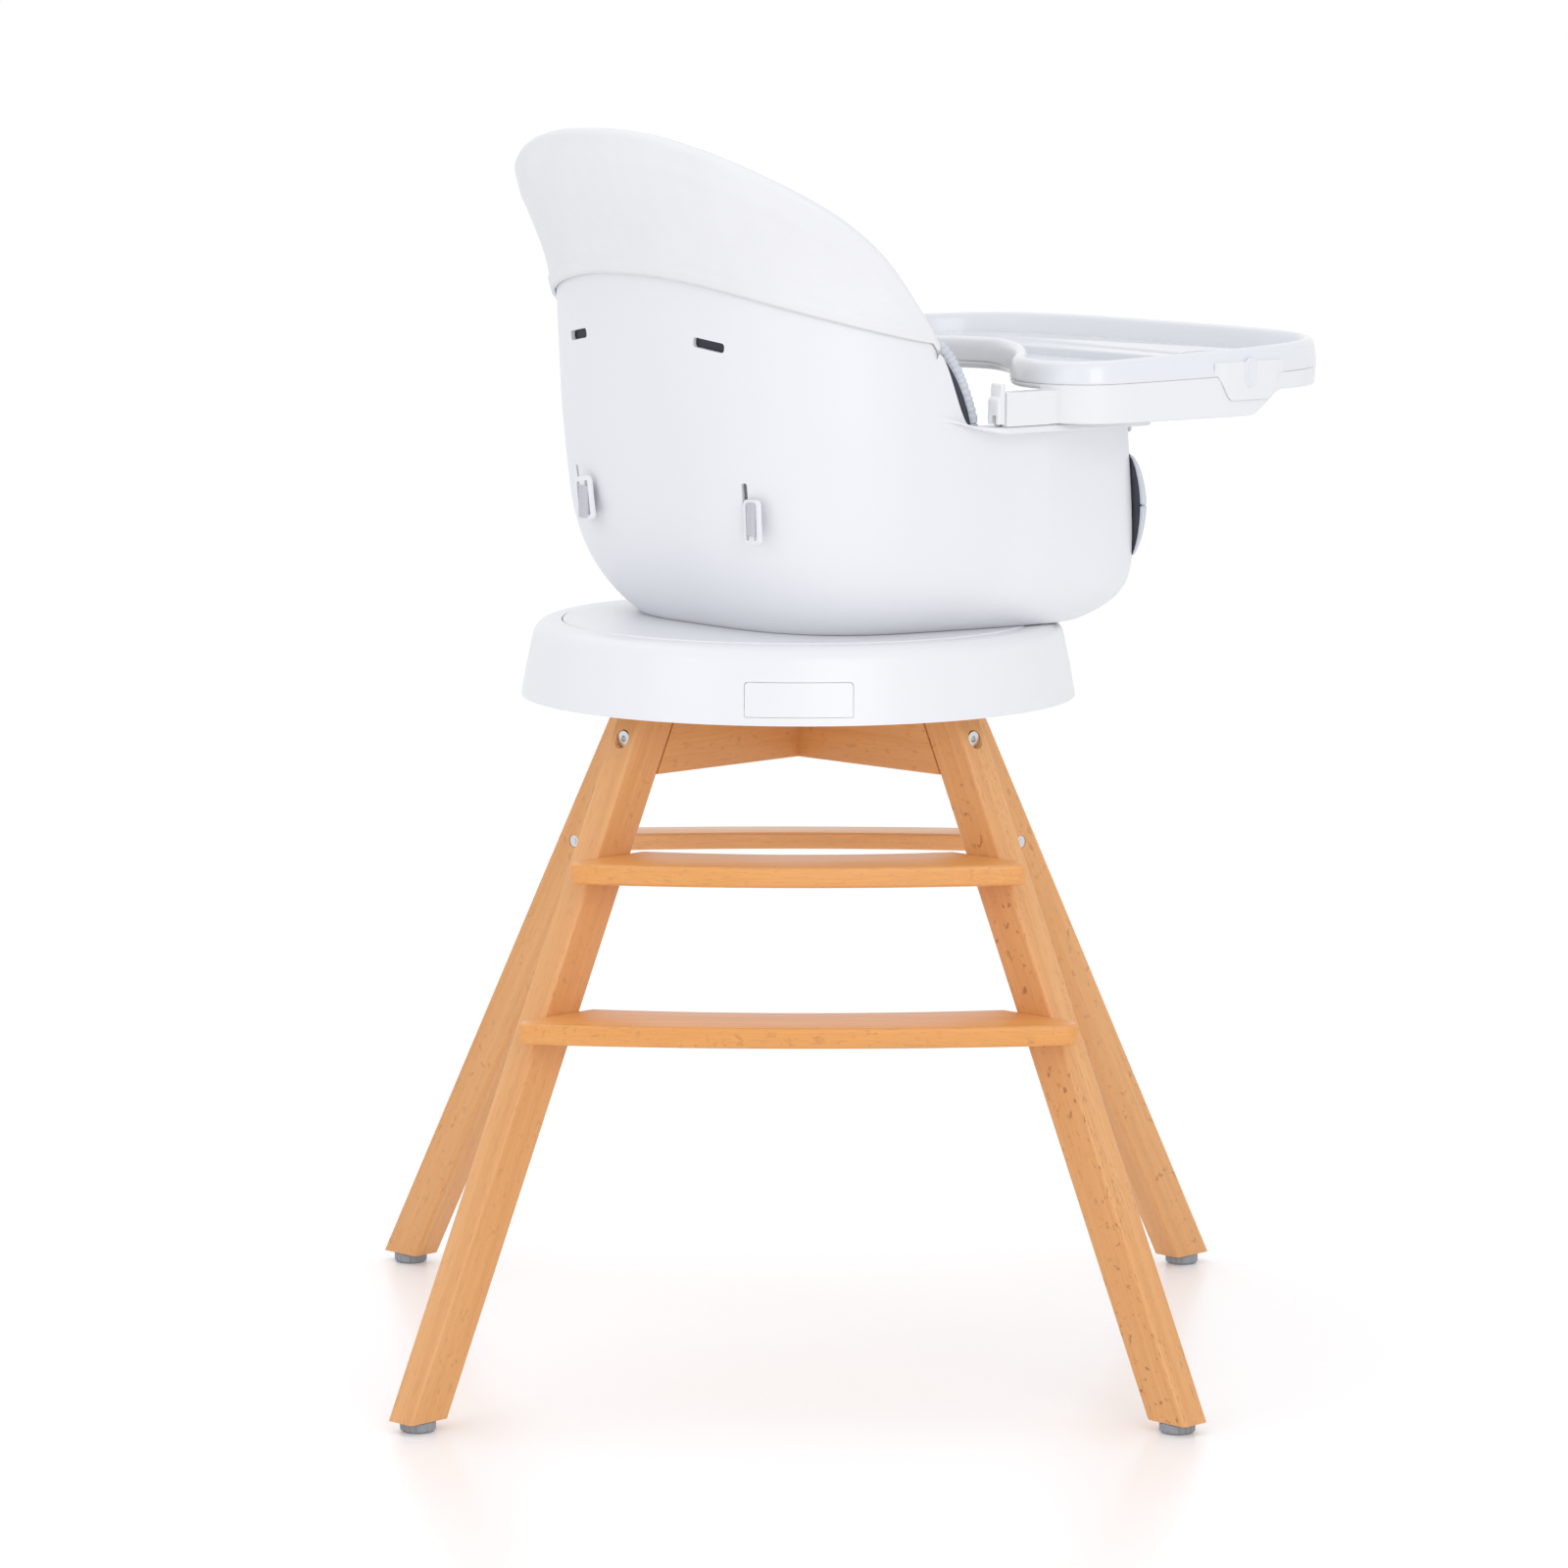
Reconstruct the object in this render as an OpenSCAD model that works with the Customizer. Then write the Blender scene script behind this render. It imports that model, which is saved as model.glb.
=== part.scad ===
// Swivel high chair with splayed wooden legs, two steps, a bucket seat and a sliding tray.
// The origin lies on the floor under the swivel axis, +Z is up and the steps face -Y.

/* [Stand] */
// Height of the housing's lower edge above the floor
housing_z = 532; // [480:4:580]
// Distance from the axis to a leg's outer face, level with the housing's lower edge
head_reach = 184; // [178:1:196]
// Distance from the axis to a front leg's outer face, carried on down to the floor
front_reach = 432; // [400:4:460]
// Distance from the axis to a rear leg's outer face, carried on down to the floor
rear_reach = 493; // [460:4:520]
// Width of a leg across its splay
leg_w = 27; // [24:1:32]
// Thickness of a leg along its splay
leg_t = 35; // [32:1:40]
// Rounding of a leg's long edges
leg_round = 3; // [1:0.5:5]
// How far the legs and beams reach up into the housing
head_overlap = 8; // [5:1:12]
// Width of a cross beam
beam_w = 27; // [22:1:30]
// Height of a cross beam
beam_h = 57; // [48:1:62]

/* [Steps] */
// Height of the upper step's top face
upper_step_z = 424.5; // [380:2:440]
// Height of the lower step's top face
lower_step_z = 307; // [260:2:330]
// Thickness of a step board
step_t = 16; // [14:1:20]
// Depth of a step board from front to back
step_depth = 73; // [64:1:84]
// Bow of a step's long edges
step_bow = 16; // [6:1:22]
// How far a step reaches back past the legs' inner corners
step_back = 8; // [2:1:14]
// How far a step's tips reach out past the legs' outer corners
step_tip = 20; // [12:1:26]
// Rounding of a board's tips
tip_round = 13; // [6:1:18]
// Rounding of a board's upper and lower edges
board_round = 3; // [1:0.5:4]
// Height of the rear rail's top face
rail_z = 395; // [350:2:440]
// Height of the rear rail's section
rail_h = 14; // [12:1:20]
// Depth of the rear rail's section
rail_d = 30; // [24:1:36]

/* [Feet and fasteners] */
// Radius of a foot's pad
foot_r = 13.8; // [11:0.2:15]
// Height of a foot's pad
foot_h = 8.4; // [6:0.2:12]
// Radius of a foot's stem
stem_r = 4; // [3:0.5:5]
// Length of a foot's stem above its pad
stem_l = 24; // [18:1:30]
// Number of grooves around a foot's pad
foot_grooves = 18; // [12:1:24]
// Radius of a leg bolt's shank
bolt_r = 3; // [2.5:0.5:4]
// Radius of a leg bolt's head
bolt_head_r = 6.2; // [5:0.2:7]
// Length of a leg bolt's head
bolt_head_h = 5; // [4:0.5:7]
// Radius of a barrel nut
nut_r = 5; // [4:0.5:6]
// Radius of a step screw's shank
screw_r = 2.4; // [2:0.2:3]
// Radius of a step screw's head
screw_head_r = 5; // [4:0.5:6]

/* [Housing] */
// Radius of the housing at its lower edge
housing_r = 220; // [212:1:230]
// Height of the housing
housing_h = 59.2; // [54:0.2:66]
// How far the housing's side leans in towards its top
housing_lean = 9; // [4:1:14]
// Rounding of the housing's upper edge
housing_round = 14; // [8:1:18]
// Wall of the housing and of the turntable
housing_wall = 3; // [2.5:0.5:4]
// Width of the housing's rim around the turntable
rim_w = 32; // [30:1:40]
// Width of the lock panel
panel_w = 83; // [60:1:100]
// Height of the lock panel
panel_h = 26; // [18:1:30]
// Height of the lock panel's lower edge above the housing's lower edge
panel_lift = 6.5; // [5:0.5:10]
// Travel of the lock panel
panel_travel = 6; // [4:0.5:8]
// Radius of the pivot spindle
spindle_r = 12; // [9:0.5:15]

/* [Seat shell] */
// Turn of the seat about the swivel axis
seat_turn = 38; // [0:1:359]
// Distance from the axis to the shell's back
shell_back = 147; // [138:1:155]
// Distance from the axis to the shell's front
shell_front = 226; // [212:1:236]
// Half the width of the shell
shell_half = 196; // [188:1:204]
// Wall of the shell
shell_wall = 3.5; // [2.5:0.5:4.5]
// Height of the armrest flange's top above the shell's underside
arm_rise = 163; // [150:1:175]
// Height of the rim at the end of the hood above the shell's underside
side_rise = 220; // [205:1:230]
// Height of the rim at the back above the shell's underside
back_rise = 382; // [360:2:396]
// Height of the front lip above the shell's underside
lip_rise = 48; // [40:1:56]
// Outward flare of the rim at the back
rim_flare = 24; // [10:1:32]
// Width of the armrest flange
flange_w = 20; // [16:1:26]
// Thickness of the armrest flange
flange_t = 5.5; // [4:0.5:7]

/* [Liner] */
// Thickness of the pad on the shell's walls
pad_wall = 11; // [8:1:16]
// Thickness of the seat cushion
pad_seat = 20; // [16:1:26]
// Crown of the seat cushion
pad_crown = 6; // [2:1:10]
// Thickness of the hood over the shell's rim
hood_t = 5; // [3:0.5:7]
// Height of the hood's hem above the shell's underside, beside the armrests
hem_side = 224; // [216:2:232]
// Rise of the hem from there to the back
hem_climb = 50; // [40:2:60]

/* [Tray] */
// Half the width of the tray
tray_half = 250; // [236:1:258]
// Distance from the axis to the line where the tray is widest
tray_mid = 160; // [152:1:168]
// Reach of the tray in front of that line
tray_front = 238; // [220:1:244]
// Reach of the tray's ears behind that line
tray_ears = 90; // [84:1:96]
// Distance from the axis to the middle of the tray's belly edge
belly_x = 190; // [176:1:200]
// Height of the insert's rim above the tray's lower edge
tray_h = 50.5; // [46:0.5:56]
// Wall of the tray and of its insert
tray_wall = 2.5; // [2:0.5:3.5]
// Radius of the cup recess
cup_r = 36; // [30:1:40]
// Travel of the tray along the armrests
tray_travel = 40; // [20:5:45]

/* [Hidden] */

// Running clearance of a shaft in its bore
running = 0.05;
// Gap between faces of pieces that move apart
gap = 0.3;
leg_bottom = foot_h + gap;
leg_top = housing_z + head_overlap;
beam_z = leg_top - beam_h;
bolt_z = beam_z + beam_h / 2;
beech = [0.87, 0.66, 0.43];
steel = [0.72, 0.73, 0.75];
white = [0.95, 0.95, 0.96];
cloth = [0.97, 0.97, 0.96];
grey = [0.55, 0.57, 0.6];
// Each leg: the sign of its X, the sign of its Y
FRONT_LEFT = [-1, -1];
FRONT_RIGHT = [1, -1];
REAR_LEFT = [-1, 1];
REAR_RIGHT = [1, 1];
LEGS = [FRONT_LEFT, FRONT_RIGHT, REAR_LEFT, REAR_RIGHT];

function reach(leg) = leg[1] < 0 ? front_reach : rear_reach;
// Radial run of a leg for each unit of height
function splay(leg) = (reach(leg) - head_reach) / housing_z;
// Radius of a leg's outer face, and of its inner face, at height z
function outer_at(leg, z) = reach(leg) - splay(leg) * z;
function depth_of(leg) = leg_t * sqrt(1 + pow(splay(leg), 2));
function inner_at(leg, z) = outer_at(leg, z) - depth_of(leg);
// Places its children on a leg's diagonal, with +X outward
module on_diagonal(leg) rotate([0, 0, atan2(leg[1], leg[0])]) children();
module each_leg() for (leg = LEGS) on_diagonal(leg) { $leg = leg; children(); }

function smooth(x) = let(t = min(1, max(0, x))) t * t * (3 - 2 * t);
function arc(cx, cy, r, from, to, steps) =
    [for (i = [0:steps]) let(a = from + (to - from) * i / steps) [cx + r * cos(a), cy + r * sin(a)]];

// A closed surface through rings of equally many points, each end closed by a flat cap
module loft(rings) {
    count = len(rings[0]);
    last = len(rings) - 1;
    points = [for (ring = rings) each ring];
    sides = [for (j = [0:last - 1], i = [0:count - 1])
        let(a = j * count + i, b = j * count + (i + 1) % count)
        each [[a, b + count, b], [a, a + count, b + count]]];
    polyhedron(points, concat([[for (i = [0:count - 1]) i]], sides,
        [[for (i = [count - 1:-1:0]) last * count + i]]), convexity = 8);
}

module rounded_plan(w, d, r) {
    square([w - 2 * r, d], center = true);
    square([w, d - 2 * r], center = true);
    for (x = [-1, 1], y = [-1, 1]) translate([x * (w / 2 - r), y * (d / 2 - r)]) circle(r, $fn = 24);
}

// Legs, their middle line tilted by the splay, cut level at both ends
module leg(leg) {
    tilt = atan(splay(leg));
    long = 1.3 * leg_top;
    color(beech) on_diagonal(leg) difference() {
        intersection() {
            translate([outer_at(leg, 0) - depth_of(leg) / 2, 0, 0]) rotate([0, -tilt, 0])
                translate([0, 0, -0.1 * leg_top]) linear_extrude(long) rounded_plan(leg_t, leg_w, leg_round);
            translate([-long, -long, leg_bottom]) cube([2 * long, 2 * long, leg_top - leg_bottom]);
        }
        foot_place(leg) insert_bore();
        bolt_place(leg) bolt_bore();
        for (z = step_heights(leg)) step_screw_place(leg, z) screw_bore();
    }
}
module leg_front_left() leg(FRONT_LEFT);
module leg_front_right() leg(FRONT_RIGHT);
module leg_rear_left() leg(REAR_LEFT);
module leg_rear_right() leg(REAR_RIGHT);

// Feet: a grooved pad on a stem that turns in an insert in the leg's end
insert_r = stem_r + 2.5;
insert_l = stem_l + 2;
module foot_place(leg) translate([outer_at(leg, leg_bottom) - depth_of(leg) / 2, 0, 0]) children();
module insert_bore() translate([0, 0, leg_bottom - 1]) cylinder(r = insert_r, h = insert_l + 1, $fn = 32);
module insert() difference() {
    translate([0, 0, leg_bottom]) cylinder(r = insert_r, h = insert_l, $fn = 32);
    translate([0, 0, leg_bottom - 1]) cylinder(r = stem_r + running, h = insert_l, $fn = 32);
}
module foot_inserts() color(steel) each_leg() foot_place($leg) insert();
module foot(leg) color(grey) on_diagonal(leg) foot_place(leg) {
    difference() {
        rotate_extrude($fn = 48) polygon([[0, 0], [foot_r - 2, 0], [foot_r, 2], [foot_r, foot_h - 1],
            [foot_r - 1, foot_h], [0, foot_h]]);
        for (i = [0:foot_grooves - 1]) rotate([0, 0, i * 360 / foot_grooves])
            translate([foot_r + 0.7, 0, 2]) cylinder(r = 1.3, h = foot_h, $fn = 16);
    }
    cylinder(r = stem_r, h = foot_h + stem_l, $fn = 32);
}
module foot_front_left() foot(FRONT_LEFT);
module foot_front_right() foot(FRONT_RIGHT);
module foot_rear_left() foot(REAR_LEFT);
module foot_rear_right() foot(REAR_RIGHT);

// One bolt per leg runs level through the leg into a barrel nut in the beam
bolt_seat = 2;
bolt_l = leg_t + 34;
module bolt_place(leg) translate([outer_at(leg, bolt_z) - bolt_seat, 0, bolt_z]) rotate([0, -90, 0]) children();
module bolt_bore() {
    translate([0, 0, -20]) cylinder(r = bolt_head_r + 0.8, h = 20 + bolt_head_h, $fn = 32);
    cylinder(r = bolt_r + 0.25, h = bolt_l + 4, $fn = 32);
}
module bolt() difference() {
    union() {
        cylinder(r = bolt_head_r, h = bolt_head_h, $fn = 40);
        cylinder(r = bolt_r, h = bolt_l, $fn = 32);
    }
    translate([0, 0, -1]) cylinder(r = bolt_r * 0.95, h = 1 + bolt_head_h * 0.6, $fn = 6);
}
module leg_bolts() color(steel) each_leg() bolt_place($leg) bolt();
module nut_place(leg) bolt_place(leg) translate([0, 0, bolt_l - nut_r - 3]) children();
module barrel_nuts() color(steel) each_leg() nut_place($leg) difference() {
    rotate([90, 0, 0]) cylinder(r = nut_r, h = beam_w - 6, center = true, $fn = 32);
    cylinder(r = bolt_r + running, h = 3 * nut_r, center = true, $fn = 32);
}

// Two beams cross on the diagonals in a half lap and end against the legs' inner faces
module beam(front, rear, lap_low) {
    color(beech) difference() {
        on_diagonal(rear) rotate([90, 0, 0]) linear_extrude(beam_w, center = true)
            polygon([[-inner_at(front, beam_z), beam_z], [inner_at(rear, beam_z), beam_z],
                [inner_at(rear, leg_top), leg_top], [-inner_at(front, leg_top), leg_top]]);
        on_diagonal(rear) translate([0, 0, lap_low ? beam_z + beam_h / 4 : leg_top - beam_h / 4])
            cube([beam_w, beam_w + 2, beam_h / 2 + 0.001], center = true);
        for (leg = [front, rear]) on_diagonal(leg) {
            bolt_place(leg) bolt_bore();
            nut_place(leg) rotate([90, 0, 0]) cylinder(r = nut_r + 0.1, h = beam_w - 5.8, center = true, $fn = 32);
        }
        for (leg = [front, rear]) on_diagonal(leg) plate_screw_place() translate([0, 0, leg_top - plate_screw_l - 1])
            cylinder(r = screw_r + 0.1, h = plate_screw_l + 2, $fn = 24);
    }
}
module cross_beam_a() beam(FRONT_LEFT, REAR_RIGHT, true);
module cross_beam_b() beam(FRONT_RIGHT, REAR_LEFT, false);

// Step boards lie between the front legs, their ends cut at 45 degrees against the legs' side faces
cut_line = leg_w / 2 * sqrt(2);
// Corner of a leg's side face at height z, on the side of the board: distance along X, and along Y
function side_corner(radius) = [radius / sqrt(2) - leg_w / 2 / sqrt(2), radius / sqrt(2) + leg_w / 2 / sqrt(2)];
// Right half of a board's plan as X against distance from the axis, drawn in by inset
function board_half(leg, z, depth, bow, inset) =
    let(back = side_corner(inner_at(leg, z))[1] - step_back + inset,
        front = back - inset + depth - inset,
        tip = side_corner(outer_at(leg, z))[0] + step_tip - inset,
        cut = cut_line + inset * sqrt(2),
        round = tip_round - inset,
        half = back - cut,
        corner = tip - round)
    concat([for (i = [0:5]) let(x = half * i / 6) [x, back + bow * (1 - pow(x / half, 2))]],
        [[half, back], [tip - round * 0.3, tip + cut - round * 0.3]],
        arc(corner, front - round, round, 30, 88, 4),
        [for (i = [6:-1:1]) let(x = corner * i / 7) [x, front + bow * (1 - pow(x / corner, 2))]]);
function board_plan(leg, z, depth, bow, inset) =
    let(half = board_half(leg, z, depth, bow, inset), n = len(half))
    concat(half, [[0, half[n - 1][1] + bow * 0.02]],
        [for (i = [n - 1:-1:1]) [-half[i][0], half[i][1]]]);
function level(plan, z, side) = [for (p = plan) [p[0] * side, p[1] * side, z]];
module board(leg, top, t, depth, bow) {
    r = board_round;
    insets = [[r, 0], [r * 0.3, r * 0.3], [0, r], [0, t - r], [r * 0.3, t - r * 0.3], [r, t]];
    color(beech) difference() {
        loft([for (s = insets) level(board_plan(leg, top, depth, bow, s[0]), top - t + s[1], leg[1])]);
        for (x = [-1, 1]) on_diagonal([x, leg[1]]) step_screw_place([x, leg[1]], top - t / 2) screw_bore();
    }
}
module upper_step() board(FRONT_LEFT, upper_step_z, step_t, step_depth, step_bow);
module lower_step() board(FRONT_LEFT, lower_step_z, step_t, step_depth, step_bow);
module rear_rail() board(REAR_LEFT, rail_z, rail_h, rail_d + step_back, step_bow * 0.6);

// One screw per board end runs through the leg's width into the board's cut end
screw_l = leg_w + 18;
function step_heights(leg) = leg[1] < 0 ? [upper_step_z - step_t / 2, lower_step_z - step_t / 2] : [rail_z - rail_h / 2];
// The boards lie on the side of a leg that looks away from the stand's middle along Y
function board_side(leg) = leg[0] * leg[1];
screw_head_h = 3;
// Starts at the leg's other side, with +Z running towards the board
module step_screw_place(leg, z) translate([(outer_at(leg, z) + inner_at(leg, z)) / 2, 0, z])
    rotate([board_side(leg) * -90, 0, 0]) translate([0, 0, -leg_w / 2]) children();
module screw_bore() {
    cylinder(r = screw_r + 0.1, h = screw_l + 1, $fn = 24);
    translate([0, 0, -1]) cylinder(r = screw_head_r + 0.3, h = 1.5 + screw_head_h, $fn = 24);
}
module step_screws() color(steel) each_leg() for (z = step_heights($leg)) step_screw_place($leg, z) {
    translate([0, 0, 0.5]) cylinder(r = screw_head_r, h = screw_head_h, $fn = 32);
    cylinder(r = screw_r, h = screw_l, $fn = 24);
}

// Housing: a ring with a leaning side and a rounded shoulder, open in the middle for the turntable
housing_top = housing_z + housing_h;
rim_in = housing_r - rim_w;
disc_r = rim_in - 1;
panel_z = housing_z + panel_lift;
function housing_side(d) = concat([[housing_r - d, housing_z], [housing_r - housing_lean * 0.45 - d, housing_z + housing_h * 0.4]],
    arc(housing_r - housing_lean - housing_round, housing_top - housing_round, housing_round - d, 10, 90, 8));
housing_inside = concat([[rim_in, housing_top - housing_wall]],
    [for (i = [9:-1:0]) let(p = housing_side(housing_wall)[i]) p]);
module panel_window(clear) translate([-panel_w / 2 - clear, -housing_r - 5, panel_z - clear])
    rounded_window(panel_w + 2 * clear, panel_h + 2 * clear);
// A flat slab through the housing's front with two rounded upper corners
module rounded_window(w, h) translate([w / 2, 40, 0]) rotate([90, 0, 0]) linear_extrude(40) {
    translate([-w / 2, 0]) square([w, h - 3]);
    translate([-w / 2 + 3, 0]) square([w - 6, h]);
    for (x = [-1, 1]) translate([x * (w / 2 - 3), h - 3]) circle(3, $fn = 24);
}
boss_r = 5;
boss_places = [for (i = [0:5]) i * 60];
plate_t = 3;
plate_z = leg_top;
module housing_ring() color(white) difference() {
    union() {
        rotate_extrude($fn = 180) polygon(concat(housing_side(0), [[rim_in, housing_top]], housing_inside));
        for (a = boss_places) rotate([0, 0, a]) translate([housing_r - 24, 0, plate_z + plate_t])
            cylinder(r = boss_r, h = housing_top - plate_z - plate_t - housing_wall / 2, $fn = 32);
    }
    panel_window(gap);
    for (a = boss_places) rotate([0, 0, a]) translate([housing_r - 24, 0, plate_z]) cylinder(r = 1.5, h = 20, $fn = 24);
}
module housing_screws() color(steel) {
    for (a = boss_places) rotate([0, 0, a]) translate([housing_r - 24, 0, plate_z - 2]) {
        cylinder(r = 3.5, h = 2, $fn = 32);
        cylinder(r = 1.5, h = 18, $fn = 24);
    }
    each_leg() plate_screw_place() {
        translate([0, 0, plate_z + plate_t]) cylinder(r = 5, h = 2.5, $fn = 32);
        translate([0, 0, plate_z - plate_screw_l]) cylinder(r = screw_r, h = plate_screw_l + plate_t, $fn = 24);
    }
}

// Base plate: rests on the beams, carries the hub of the pivot and the track of the glide ring
hub_r = spindle_r + 13;
hub_top = plate_z + 36;
track_r = 152;
glide_t = 4;
glide_z = hub_top;
washer_t = 2.5;
pocket_h = 13;
plate_screw_l = 22;
module plate_screw_place() translate([70, 0, 0]) children();
module base_plate() color(white) difference() {
    union() {
        rotate_extrude($fn = 120) polygon([[0, plate_z], [housing_r - 13, plate_z], [housing_r - 13, plate_z + plate_t],
            [track_r + 4, plate_z + plate_t], [track_r + 4, glide_z], [track_r - 4, glide_z],
            [track_r - 4, plate_z + plate_t], [hub_r, plate_z + plate_t], [hub_r, hub_top], [0, hub_top]]);
        spring_post();
    }
    translate([0, 0, plate_z - 1]) cylinder(r = spindle_r + running, h = housing_h, $fn = 96);
    translate([0, 0, plate_z - 1]) cylinder(r = hub_r - 4, h = pocket_h + 1, $fn = 64);
    each_leg() plate_screw_place() translate([0, 0, plate_z - 1]) cylinder(r = screw_r + 0.1, h = 20, $fn = 24);
    for (a = boss_places) rotate([0, 0, a]) translate([housing_r - 24, 0, plate_z - 1])
        cylinder(r = 1.6, h = 10, $fn = 24);
}
module glide_ring() color(grey) rotate_extrude($fn = 120) translate([track_r - 7, glide_z]) square([14, glide_t]);

// Turntable: a disc with a skirt, a spindle in the hub and a rib that runs on the glide ring
disc_top = housing_top + 0.8;
disc_under = disc_top - housing_wall;
skirt_h = 16;
rib_z = glide_z + glide_t + gap;
notch_w = 18;
notches = 8;
spindle_end = plate_z + pocket_h - washer_t - 0.5;
module turntable() color(white) difference() {
    rotate_extrude($fn = 180) polygon([[0, disc_top], [disc_r - 1, disc_top], [disc_r, disc_top - 1],
        [disc_r, disc_top - skirt_h], [disc_r - 5, disc_top - skirt_h], [disc_r - 5, disc_under],
        [track_r + 5, disc_under], [track_r + 5, rib_z], [track_r - 5, rib_z], [track_r - 5, disc_under],
        [spindle_r, disc_under], [spindle_r, spindle_end + washer_t], [0, spindle_end + washer_t]]);
    for (i = [0:notches - 1]) rotate([0, 0, i * 360 / notches]) translate([0, -disc_r - 1, disc_top - skirt_h - 1])
        translate([-notch_w / 2, 0, 0]) cube([notch_w, 12, skirt_h - 3]);
    translate([0, 0, spindle_end - 1]) cylinder(r = 3, h = 24, $fn = 32);
    for (a = shell_screw_turns) rotate([0, 0, a]) translate([shell_screw_r, 0, disc_top - 20])
        cylinder(r = 2.6, h = 30, $fn = 24);
}
module pivot_washer() color(steel) difference() {
    translate([0, 0, spindle_end]) cylinder(r = hub_r - 5, h = washer_t, $fn = 64);
    translate([0, 0, spindle_end - 1]) cylinder(r = 3.2, h = 6, $fn = 32);
}
module pivot_screw() color(steel) {
    translate([0, 0, spindle_end - 5]) cylinder(r = 6, h = 5, $fn = 6);
    translate([0, 0, spindle_end - 1]) cylinder(r = 2.95, h = 22, $fn = 32);
}

// Lock: pressing the panel pushes a bolt inward, whose nose enters a notch of the turntable
bolt_w = 30;
nose_w = notch_w - 4;
nose_gap = 2;
panel_t = 4;
riser_t = 6;
riser_y = disc_r + nose_gap + riser_t;
// The bolt ends just short of the panel's inner face
bolt_back = housing_r - housing_lean * 0.45 - panel_t - 0.8;
arm_z = panel_z + panel_h * 0.4;
spring_l = 20;
spring_z = arm_z + 3;
module lock_panel() color(white) intersection() {
    panel_window(0);
    rotate_extrude($fn = 180) polygon(concat(housing_side(0), [for (i = [9:-1:0]) housing_side(panel_t)[i]]));
}
module lock_bolt() color(grey) {
    translate([-bolt_w / 2, -bolt_back, arm_z]) cube([bolt_w, bolt_back - riser_y, 6]);
    translate([-bolt_w / 2, -riser_y - riser_t, arm_z]) cube([bolt_w, riser_t, disc_top - 7 - arm_z]);
    translate([-nose_w / 2, -riser_y, disc_top - skirt_h + 1]) cube([nose_w, riser_t, skirt_h - 8]);
}
module lock_spring() color(steel) translate([0, -riser_y, spring_z]) rotate([-90, 0, 0]) difference() {
    cylinder(r = 5, h = spring_l, $fn = 32);
    translate([0, 0, -1]) cylinder(r = 3.8, h = spring_l + 2, $fn = 32);
}
module spring_post() translate([-10, -riser_y + spring_l, plate_z]) cube([20, 4, spring_z + 8 - plate_z]);

// Shell: a plan outline in polar form, flat at the back and square at the front, drawn in towards its
// underside, leaning and flaring with height, and cut by a rim whose height changes around it
shell_z = disc_top;
arm_z_top = shell_z + arm_rise;
side_z = shell_z + side_rise;
back_z = shell_z + back_rise;
lip_z = shell_z + lip_rise;
flare_z = back_z - 120;
back_tuck = 0.36;
front_tuck = 0.19;
module seat_frame() rotate([0, 0, seat_turn]) children();
function plan_radius(a) = let(front = cos(a) > 0, reach = front ? shell_front : shell_back, n = front ? 6 : 2.7)
    pow(pow(abs(cos(a)) / reach, n) + pow(abs(sin(a)) / shell_half, n), -1 / n);
function plan_at(a) = plan_radius(a) * [cos(a), sin(a)];
function plan_normal(a) = let(d = plan_at(a + 1) - plan_at(a - 1)) [d[1], -d[0]] / norm(d);
function towards_back(a) = (1 - cos(a)) / 2;
// Outward offset of the shell's outer face from its plan, at height z
function swell(a, z) = let(b = towards_back(a))
    0.075 * b * max(0, z - shell_z - 109) + 6 * b * smooth((z - shell_z - 60) / 120) - 0.09 * (1 - b) * max(0, z - shell_z - 49)
    + rim_flare * smooth((z - flare_z) / 100);
// Share of the plan that the outline is drawn in by towards the underside
function tuck(a, z) = let(b = towards_back(a))
    back_tuck * b * pow(max(0, 1 - (z - shell_z) / 120), 2.4)
    + front_tuck * (1 - b) * pow(max(0, 1 - (z - shell_z) / 50), 3.5);
function shell_at(a, z, inward) = let(p = plan_at(a) * (1 - tuck(a, z)) + plan_normal(a) * (swell(a, z) - inward))
    [p[0], p[1], z];
// Height of the rim above the plan's outline: back and sides, fall to the armrest, front corner, lip
hood_end = -18;
arm_start = 16;
lip_half = 105;
corner_half = 150;
hood_turn = 84.5;
// Turn away from the middle of the back
function from_back(a) = abs(180 - ((a % 360) + 360) % 360);
function rim(a) = let(p = plan_at(a))
    p[0] < hood_end ? back_z - (back_z - side_z) * pow(from_back(a) / hood_turn, 2.85)
    : p[0] < arm_start ? side_z + (arm_z_top - side_z) * smooth((p[0] - hood_end) / (arm_start - hood_end))
    : p[0] < shell_front * 0.8 ? arm_z_top
    : lip_z + (arm_z_top - lip_z) * smooth((abs(p[1]) - lip_half) / (corner_half - lip_half));
floor_rise = 14;
floor_tilt = 0.03;
function floor_z(x) = shell_z + floor_rise + floor_tilt * x;
turns = [for (i = [0:119]) i * 3];
function shell_rings(inward, levels, from) = [for (v = levels)
    [for (a = turns) let(low = from(a)) shell_at(a, low + (rim(a) - low) * v, inward)]];
wall_levels = [0, 0.03, 0.08, 0.15, 0.25, 0.38, 0.52, 0.66, 0.76, 0.84, 0.92, 1];
inner_levels = [1, 0.92, 0.84, 0.72, 0.5, 0.3, 0.14, 0.05];
// Point of the tilted floor plane, inward of the shell's outer face
function floor_at(a, inward, up) = let(p = shell_at(a, shell_z + floor_rise, inward)) [p[0], p[1], floor_z(p[0]) + up];
function inner_low(a) = floor_at(a, shell_wall, 0)[2];
function inner_level(a, v) = inner_low(a) + (rim(a) - inner_low(a)) * v;
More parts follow.
